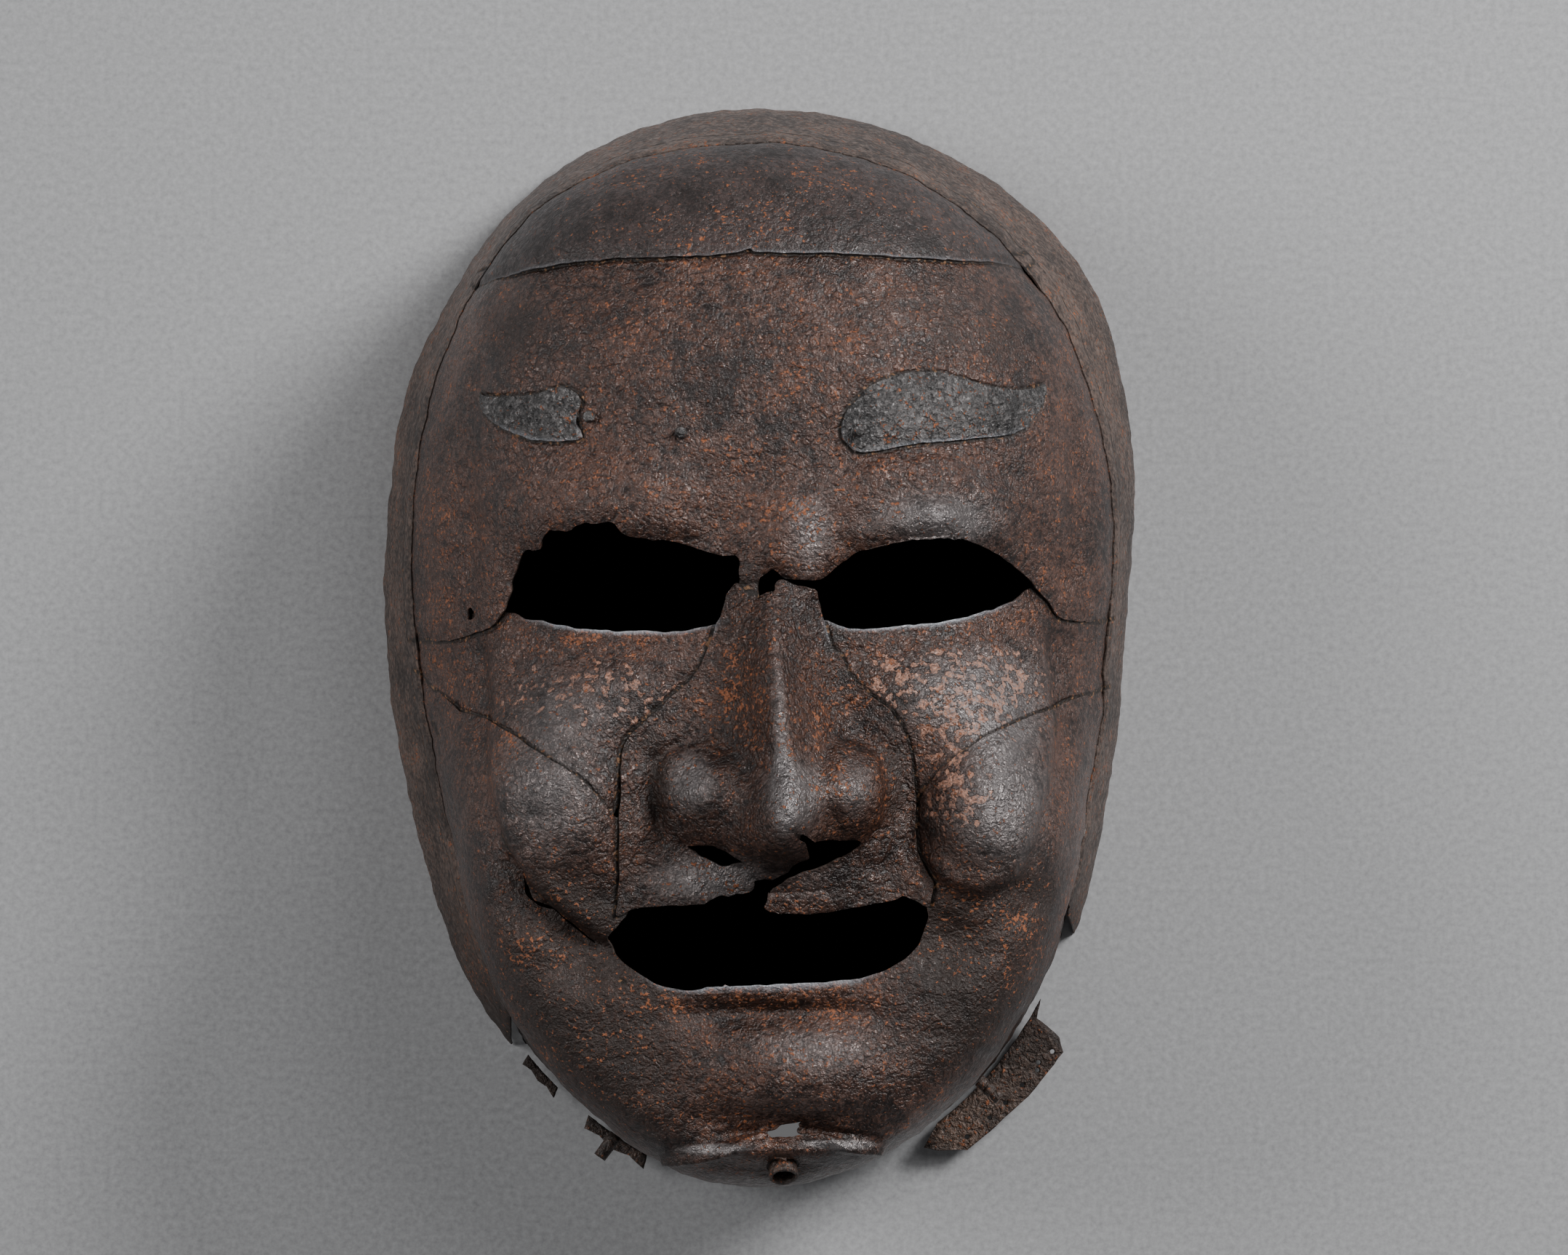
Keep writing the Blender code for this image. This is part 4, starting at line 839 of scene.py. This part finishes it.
# Rust: small bright specks on top.
rust_level = math_of(tree, "MULTIPLY_ADD", wanted["Rust"], 0.12, math_of(tree, "MULTIPLY", speck, 0.70))
rust_level = math_of(tree, "MULTIPLY_ADD", grain, 0.50, rust_level)
rust_level = math_of(tree, "MULTIPLY_ADD", mottle, 0.40, rust_level)
rust_level = math_of(tree, "MULTIPLY_ADD", cloud, 0.28, rust_level)
rust_mask = mask_of(tree, rust_level, 1.090, 1.120)
rust = mixed(tree, mask_of(tree, rust_level, 1.09, 1.22), DEEP_RUST, BRIGHT_RUST)
colour = mixed(tree, rust_mask, colour, rust)

# Seams: grime with a little rust in it, dark also as painted shade under each lap's edge.
grime = mixed(tree, mask_of(tree, speck, 0.56, 0.66), SEAM_GRIME, SEAM_RUST)
seam_mask = math_of(tree, "MULTIPLY", mask_of(tree, wanted["Seam"], 0.40, 0.85), 0.90)
colour = mixed(tree, seam_mask, colour, grime)
tree.links.new(colour, given["Colour"])

# Coats dull the iron and hide its metal, and each leaves its own relief.
coat_mask = math_of(tree, "MAXIMUM", rust_mask, patch_mask)
dull = math_of(tree, "MULTIPLY_ADD", coat_mask, 0.15, wanted["Roughness"])
dull = math_of(tree, "MULTIPLY_ADD", soot_mask, 0.24, dull)
dull = math_of(tree, "MULTIPLY_ADD", seam_mask, 0.30, dull)
dull = math_of(tree, "MULTIPLY_ADD", math_of(tree, "SUBTRACT", leather, 0.5), -0.60, dull)
tree.links.new(dull, given["Roughness"])
bare = math_of(tree, "MULTIPLY_ADD", grey_mask, 0.70, 0.15)
covered = math_of(tree, "MAXIMUM", rust_mask, math_of(tree, "MULTIPLY", patch_mask, 0.7))
tree.links.new(math_of(tree, "MULTIPLY", bare, math_of(tree, "SUBTRACT", 1.0, covered)), given["Metallic"])
height = math_of(tree, "MULTIPLY", mask_of(tree, leather, 0.38, 0.62), 0.26)
height = math_of(tree, "MULTIPLY_ADD", grain, 0.55, height)
height = math_of(tree, "MULTIPLY_ADD", crack, -0.22, height)
height = math_of(tree, "MULTIPLY_ADD", mottle, 0.60, height)
height = math_of(tree, "MULTIPLY_ADD", patch_rim, -0.30, height)
height = math_of(tree, "MULTIPLY_ADD", rust_mask, 0.10, height)
height = math_of(tree, "MULTIPLY_ADD", seam_mask, -0.50, height)
tree.links.new(height, given["Height"])
BARE_IRON = (0.42, 0.44, 0.48, 1.0)
IRON_SPECULAR = 0.60
EDGE_SHINE = 0.9


def painted_amount(tree, name, scale=1.0):
    """An amount painted on the mesh, times a scale."""
    painted = add_node(tree, "ShaderNodeAttribute", {}, attribute_name=name).outputs["Fac"]
    return math_of(tree, "MULTIPLY", painted, scale)


def iron_material(name, dark, light, roughness, relief, **scales):
    """Old iron with the face's finish. A scale, as rust=0.5, changes what FINISH gives."""
    material = bpy.data.materials.new(name)
    material.use_nodes = True
    tree = material.node_tree
    shader = tree.nodes["Principled BSDF"]
    shader.inputs["Specular IOR Level"].default_value = IRON_SPECULAR
    group = add_node(tree, "ShaderNodeGroup", {}, node_tree=iron_group)
    tree.links.new(tree.nodes.new("ShaderNodeTexCoord").outputs["Object"], group.inputs["Places"])
    for label in ("Rust", "Patch", "Grey", "Soot", "Seam"):
        amount = painted_amount(tree, label.lower(), scales.get(label.lower(), 1.0))
        tree.links.new(amount, group.inputs[label])
    group.inputs["Dark iron"].default_value = (*dark, 1.0)
    group.inputs["Light iron"].default_value = (*light, 1.0)
    group.inputs["Roughness"].default_value = roughness
    bump_sockets = {"Strength": 1.0, "Distance": relief, "Height": group.outputs["Height"]}
    bump = add_node(tree, "ShaderNodeBump", bump_sockets)
    # Painted highlight: near the edges marked for it, the colour turns to pale bare iron, as where an edge
    # catches the light.
    edge = painted_amount(tree, "edge", EDGE_SHINE)
    shine = math_of(tree, "MULTIPLY", painted_amount(tree, "bright_rim"), edge)
    tree.links.new(mixed(tree, shine, group.outputs["Colour"], BARE_IRON), shader.inputs["Base Color"])
    tree.links.new(group.outputs["Roughness"], shader.inputs["Roughness"])
    tree.links.new(group.outputs["Metallic"], shader.inputs["Metallic"])
    tree.links.new(bump.outputs["Normal"], shader.inputs["Normal"])
    return material


face_iron = iron_material(
    "worn_face_iron",
    dark=(0.009, 0.004, 0.003),
    light=(0.108, 0.052, 0.036),
    roughness=0.29,
    relief=0.00055,
)
bare_edge = iron_material(
    "bare_edge",
    dark=(0.020, 0.012, 0.009),
    light=(0.110, 0.080, 0.066),
    roughness=0.40,
    relief=0.00020,
    soot=0.6,
)
face = [face_iron, bare_edge]


# Shares of the way from the middle of the face to the band seam.
BAND_NEAR = 0.88
BAND_OVER = 0.98


def near_band(x, y):
    """0 over the face, 1 where a plate runs in under the rim band."""
    return blend(BAND_NEAR, BAND_OVER, np.hypot(x, y) / seam_radius(np.arctan2(y, x)))


CHEEK_RISE = 0.20


def cheek_shown(x, y):
    return CHEEK_RISE * near_band(x, y)


for side in ("left", "right"):
    beat_plate(
        f"worn_cheek_{side}",
        f"cheek_plate_{side}",
        lift=level(-CHEEK_SINK),
        shown_lift=cheek_shown,
        cuts=9,
        rank=0,
        materials=face,
    )

# Forehead plate. One iron sheet from the upper eye rims to the top of the head, with a broken rim over the
# left eye. It laps over the cheek plates at the temples, and its top runs in under the crown plate.
LAP_LIFT = 0.8
BAND_PRESS = 0.55
# Where the plate slopes down under the crown, as shares of HALF_HEIGHT.
SLOPE_START = 0.50
SLOPE_END = 0.62
SLOPE_DELAY = 0.13
SHOWN_SLOPE_END = 0.655


def lap_shown(x, y):
    """One lap up over the face, pressed down close where the band holds it."""
    return LAP_LIFT * (1.0 - BAND_PRESS * near_band(x, y))


def forehead_lift(x, y):
    """As the solid lies: one layer up over the cheeks, down to none under the crown."""
    return 1.0 - blend(SLOPE_START * HALF_HEIGHT, SLOPE_END * HALF_HEIGHT, y)


def forehead_shown(x, y):
    """As any lap, sloping down further where it runs in under the crown."""
    start = SLOPE_START + SLOPE_DELAY * near_band(x, y)
    return lap_shown(x, y) * (1.0 - blend(start * HALF_HEIGHT, SHOWN_SLOPE_END * HALF_HEIGHT, y))


beat_plate(
    "worn_forehead",
    "forehead_plate",
    lift=forehead_lift,
    shown_lift=forehead_shown,
    cuts=6,
    rank=1,
    materials=face,
)

# Jaw plate. One iron sheet from the lower cheeks round the mouth and chin to the rear rim, lapped over the
# cheek plates. It is torn at the left cheek and rusted through above the sweat hole.
beat_plate(
    "worn_jaw",
    "jaw_plate",
    lift=level(1),
    shown_lift=lap_shown,
    cuts=6,
    rank=2,
    materials=face,
)

# Nose plate. Nose, nostrils and upper lip beaten from one iron sheet and lapped over the plates round it.
# It is broken from the right nostril down to the mouth.
SECOND_LAP_LIFT = 1.6
LIP_START = -0.27
LIP_END = -0.33
nose_iron = iron_material(
    "worn_nose_iron",
    dark=(0.009, 0.004, 0.003),
    light=(0.092, 0.044, 0.030),
    roughness=0.29,
    relief=0.00060,
    rust=0.9,
    patch=0.25,
)


def nose_shown(x, y):
    """One lap up, and at the lip a second one, over the jaw plate."""
    over_jaw = blend(LIP_START * HALF_HEIGHT, LIP_END * HALF_HEIGHT, y)
    return LAP_LIFT + (SECOND_LAP_LIFT - LAP_LIFT) * over_jaw


beat_plate(
    "worn_nose",
    "nose_plate",
    lift=level(2),
    shown_lift=nose_shown,
    cuts=6,
    rank=3,
    materials=[nose_iron, bare_edge],
)

# Crown plate. A cooler, smoother iron sheet over the top of the forehead. Its worn lower edge laps over the
# forehead plate.
crown_iron = iron_material(
    "worn_crown_iron",
    dark=(0.011, 0.007, 0.006),
    light=(0.064, 0.042, 0.038),
    roughness=0.40,
    relief=0.00044,
    rust=0.35,
)
beat_plate(
    "worn_crown",
    "crown_plate",
    lift=level(1),
    shown_lift=lap_shown,
    cuts=7,
    rank=2,
    materials=[crown_iron, bare_edge],
)

# Rim band. A strip of brown iron riveted round the rear edge, from the left jaw over the top of the head to
# the right jaw. Its front edge lies close on the plates.
BAND_LAP_LIFT = 1.10
BAND_EDGE_LIFT = 0.88
# Shares of the band's width from its front edge.
BAND_LAP = 0.12
BAND_LIFT_START = 0.1
BAND_LIFT_END = 0.8
band_iron = iron_material(
    "worn_band_iron",
    dark=(0.022, 0.014, 0.011),
    light=(0.150, 0.100, 0.078),
    roughness=0.46,
    relief=0.00036,
    rust=0.35,
)


def band_shown(x, y):
    """Close on the plates at the band seam, out to the node's own layer at the rim."""
    angle = np.arctan2(y, x)
    out = (np.hypot(x, y) - seam_radius(angle)) / (rim_radius(angle) - seam_radius(angle))
    close = BAND_EDGE_LIFT + (BAND_LAP_LIFT - BAND_EDGE_LIFT) * blend(0.0, BAND_LAP, out)
    return close + (BAND_LAYERS - BAND_LAP_LIFT) * blend(BAND_LIFT_START, BAND_LIFT_END, out)


beat_plate(
    "worn_band",
    "rim_band",
    lift=level(BAND_LAYERS),
    shown_lift=band_shown,
    cuts=8,
    rank=0,
    materials=[band_iron, bare_edge],
)

# Brow plates. Two thin leaves of dark iron, chased with fine ribs of hair and riveted on the forehead. The
# left one is broken off at its inner end.
BROW_SHEET = 0.0012
BROW_CLEARANCE = 0.00045
BROW_LIFT = 1.0 + (BROW_SHEET + BROW_CLEARANCE) / LAYER
RIB_PITCH = 0.0019
RIB_DEPTH = 0.00040
RIB_LEAN = 0.35
RIB_WANDER = 2.2
WANDER_SIZE = 0.006
RIB_SCALE = 240.0
FINE_RIB_HEIGHT = 0.16
trim_iron = iron_material(
    "worn_trim_iron",
    dark=(0.010, 0.009, 0.009),
    light=(0.150, 0.139, 0.136),
    roughness=0.26,
    relief=0.00080,
    rust=0.0,
)
ribs_tree = trim_iron.node_tree
ribs_bump = next(node for node in ribs_tree.nodes if node.bl_idname == "ShaderNodeBump")
ribs_places = add_node(ribs_tree, "ShaderNodeTexCoord", {}).outputs["Object"]
ribs_sockets = {
    "Vector": ribs_places,
    "Scale": RIB_SCALE,
    "Distortion": 3.0,
    "Detail": 2.0,
    "Detail Scale": 1.5,
}
ribs = add_node(ribs_tree, "ShaderNodeTexWave", ribs_sockets, bands_direction="X").outputs["Fac"]
iron_height = ribs_bump.inputs["Height"].links[0].from_socket
ribs_height = math_of(ribs_tree, "MULTIPLY_ADD", ribs, FINE_RIB_HEIGHT, iron_height)
ribs_tree.links.new(ribs_height, ribs_bump.inputs["Height"])


def ribbed(x, y):
    """The fine ribs of hair chased across the brow plates, over the hammer marks."""
    wander = np.array([noise.noise((a / WANDER_SIZE, b / WANDER_SIZE, 1.2)) for a, b in zip(x, y)])
    rib = 1.0 - np.abs(np.sin((x + y * RIB_LEAN) * math.pi / RIB_PITCH + RIB_WANDER * wander))
    return uneven(x, y) - RIB_DEPTH * rib**2


for side in ("left", "right"):
    beat_plate(
        f"worn_brow_{side}",
        f"brow_plate_{side}",
        lift=level(BROW_LIFT),
        shown_lift=level(SECOND_LAP_LIFT),
        cuts=7,
        rank=4,
        materials=[trim_iron, bare_edge],
        sheet=BROW_SHEET,
        form=ribbed,
    )

# Seams. Grime and rust have gathered along every lap and in the cracks, and under each lap's edge the dark
# line is also painted shade. They are painted on once all the plates lie in place.
SEAM_WIDTH = 0.00085
# Cracks and rust pits, as short lines of across and up.
CRACKS = [
    [(-0.630, -0.326), (-0.617, -0.340), (-0.606, -0.353)],
    [(-0.834, -0.138), (-0.819, -0.157)],
    [(-0.574, -0.414), (-0.570, -0.415)],
    [(-0.537, -0.423), (-0.534, -0.426)],
    [(-0.510, -0.432), (-0.505, -0.434)],
    [(-0.333, -0.577), (-0.327, -0.580)],
    [(0.722, -0.116), (0.749, -0.155)],
]


def paint_seams():
    """Marks each plate where the edge of one of higher rank runs, and where the sheet has cracked."""
    for name, (rank, pattern, _) in PATTERNS.items():
        gap = np.full(len(pattern), FAR)
        over = [rim for other_rank, _, rim in PATTERNS.values() if other_rank > rank]
        if over:
            rims = np.concatenate(over)
            tree = kdtree.KDTree(len(rims))
            for n, (across, up) in enumerate(rims):
                tree.insert((across, up, 0.0), n)
            tree.balance()
            gap = np.array([tree.find((across, up, 0.0))[2] for across, up in pattern])
        x, y = roll_up(pattern)
        for line in CRACKS:
            gap = np.minimum(gap, line_gap(x, y, line))
        seam = np.exp(-((gap / SEAM_WIDTH) ** 2)).astype(np.float32)
        mesh = bpy.data.objects[name].data
        mesh.attributes.new("seam", "FLOAT", "POINT").data.foreach_set("value", seam)


paint_seams()

# Brow rivets. Small round iron heads at the inner ends of the brow plates and between them, worn by rust.
# Like all small parts, they keep the form of their solids, cut finer and eaten by rust.
WEAR_SIZE = 0.0022
WEAR_DEGREES = 42


def wear_part(name, node, materials, cuts, wear):
    """A small part worked from its CAD node: cut finer and eaten by rust."""
    shape = merged_copy(node)
    bmesh.ops.subdivide_edges(shape, edges=shape.edges[:], cuts=cuts, use_grid_fill=True)
    shape.normal_update()
    depths = [wear * noise.fractal(vert.co / WEAR_SIZE, 1.0, 2.0, 3) for vert in shape.verts]
    eaten = [vert.co + vert.normal * depth for vert, depth in zip(shape.verts, depths)]
    for vert, place in zip(shape.verts, eaten):
        vert.co = place
    piece = add_piece(name, shape, node, materials)
    piece.data.set_sharp_from_angle(angle=math.radians(WEAR_DEGREES))


for part in ("brow_rivet_left", "brow_rivet_middle", "brow_rivet_right"):
    wear_part("worn_" + part, part, [trim_iron], cuts=2, wear=0.00006)

# Cord pegs and sweat ring. Two iron pegs on the jaw hold the chin cord, and a short iron tube lines the
# sweat hole under the chin.
peg_iron = iron_material(
    "worn_peg_iron",
    dark=(0.014, 0.008, 0.006),
    light=(0.090, 0.058, 0.044),
    roughness=0.42,
    relief=0.00040,
)
for part in ("cord_peg_left", "cord_peg_right", "sweat_ring"):
    wear_part("worn_" + part, part, [peg_iron], cuts=3, wear=0.00012)

# Throat flange. What is left of the iron flange round the foot of the jaw, which carried the throat guard:
# a long piece on the right and two broken stubs on the left.
flange_iron = iron_material(
    "worn_flange_iron",
    dark=(0.020, 0.012, 0.009),
    light=(0.140, 0.088, 0.064),
    roughness=0.46,
    relief=0.00070,
)
for part in ("throat_flange_right", "throat_flange_stub_left", "throat_flange_stub_side"):
    wear_part("worn_" + part, part, [flange_iron], cuts=3, wear=0.00018)
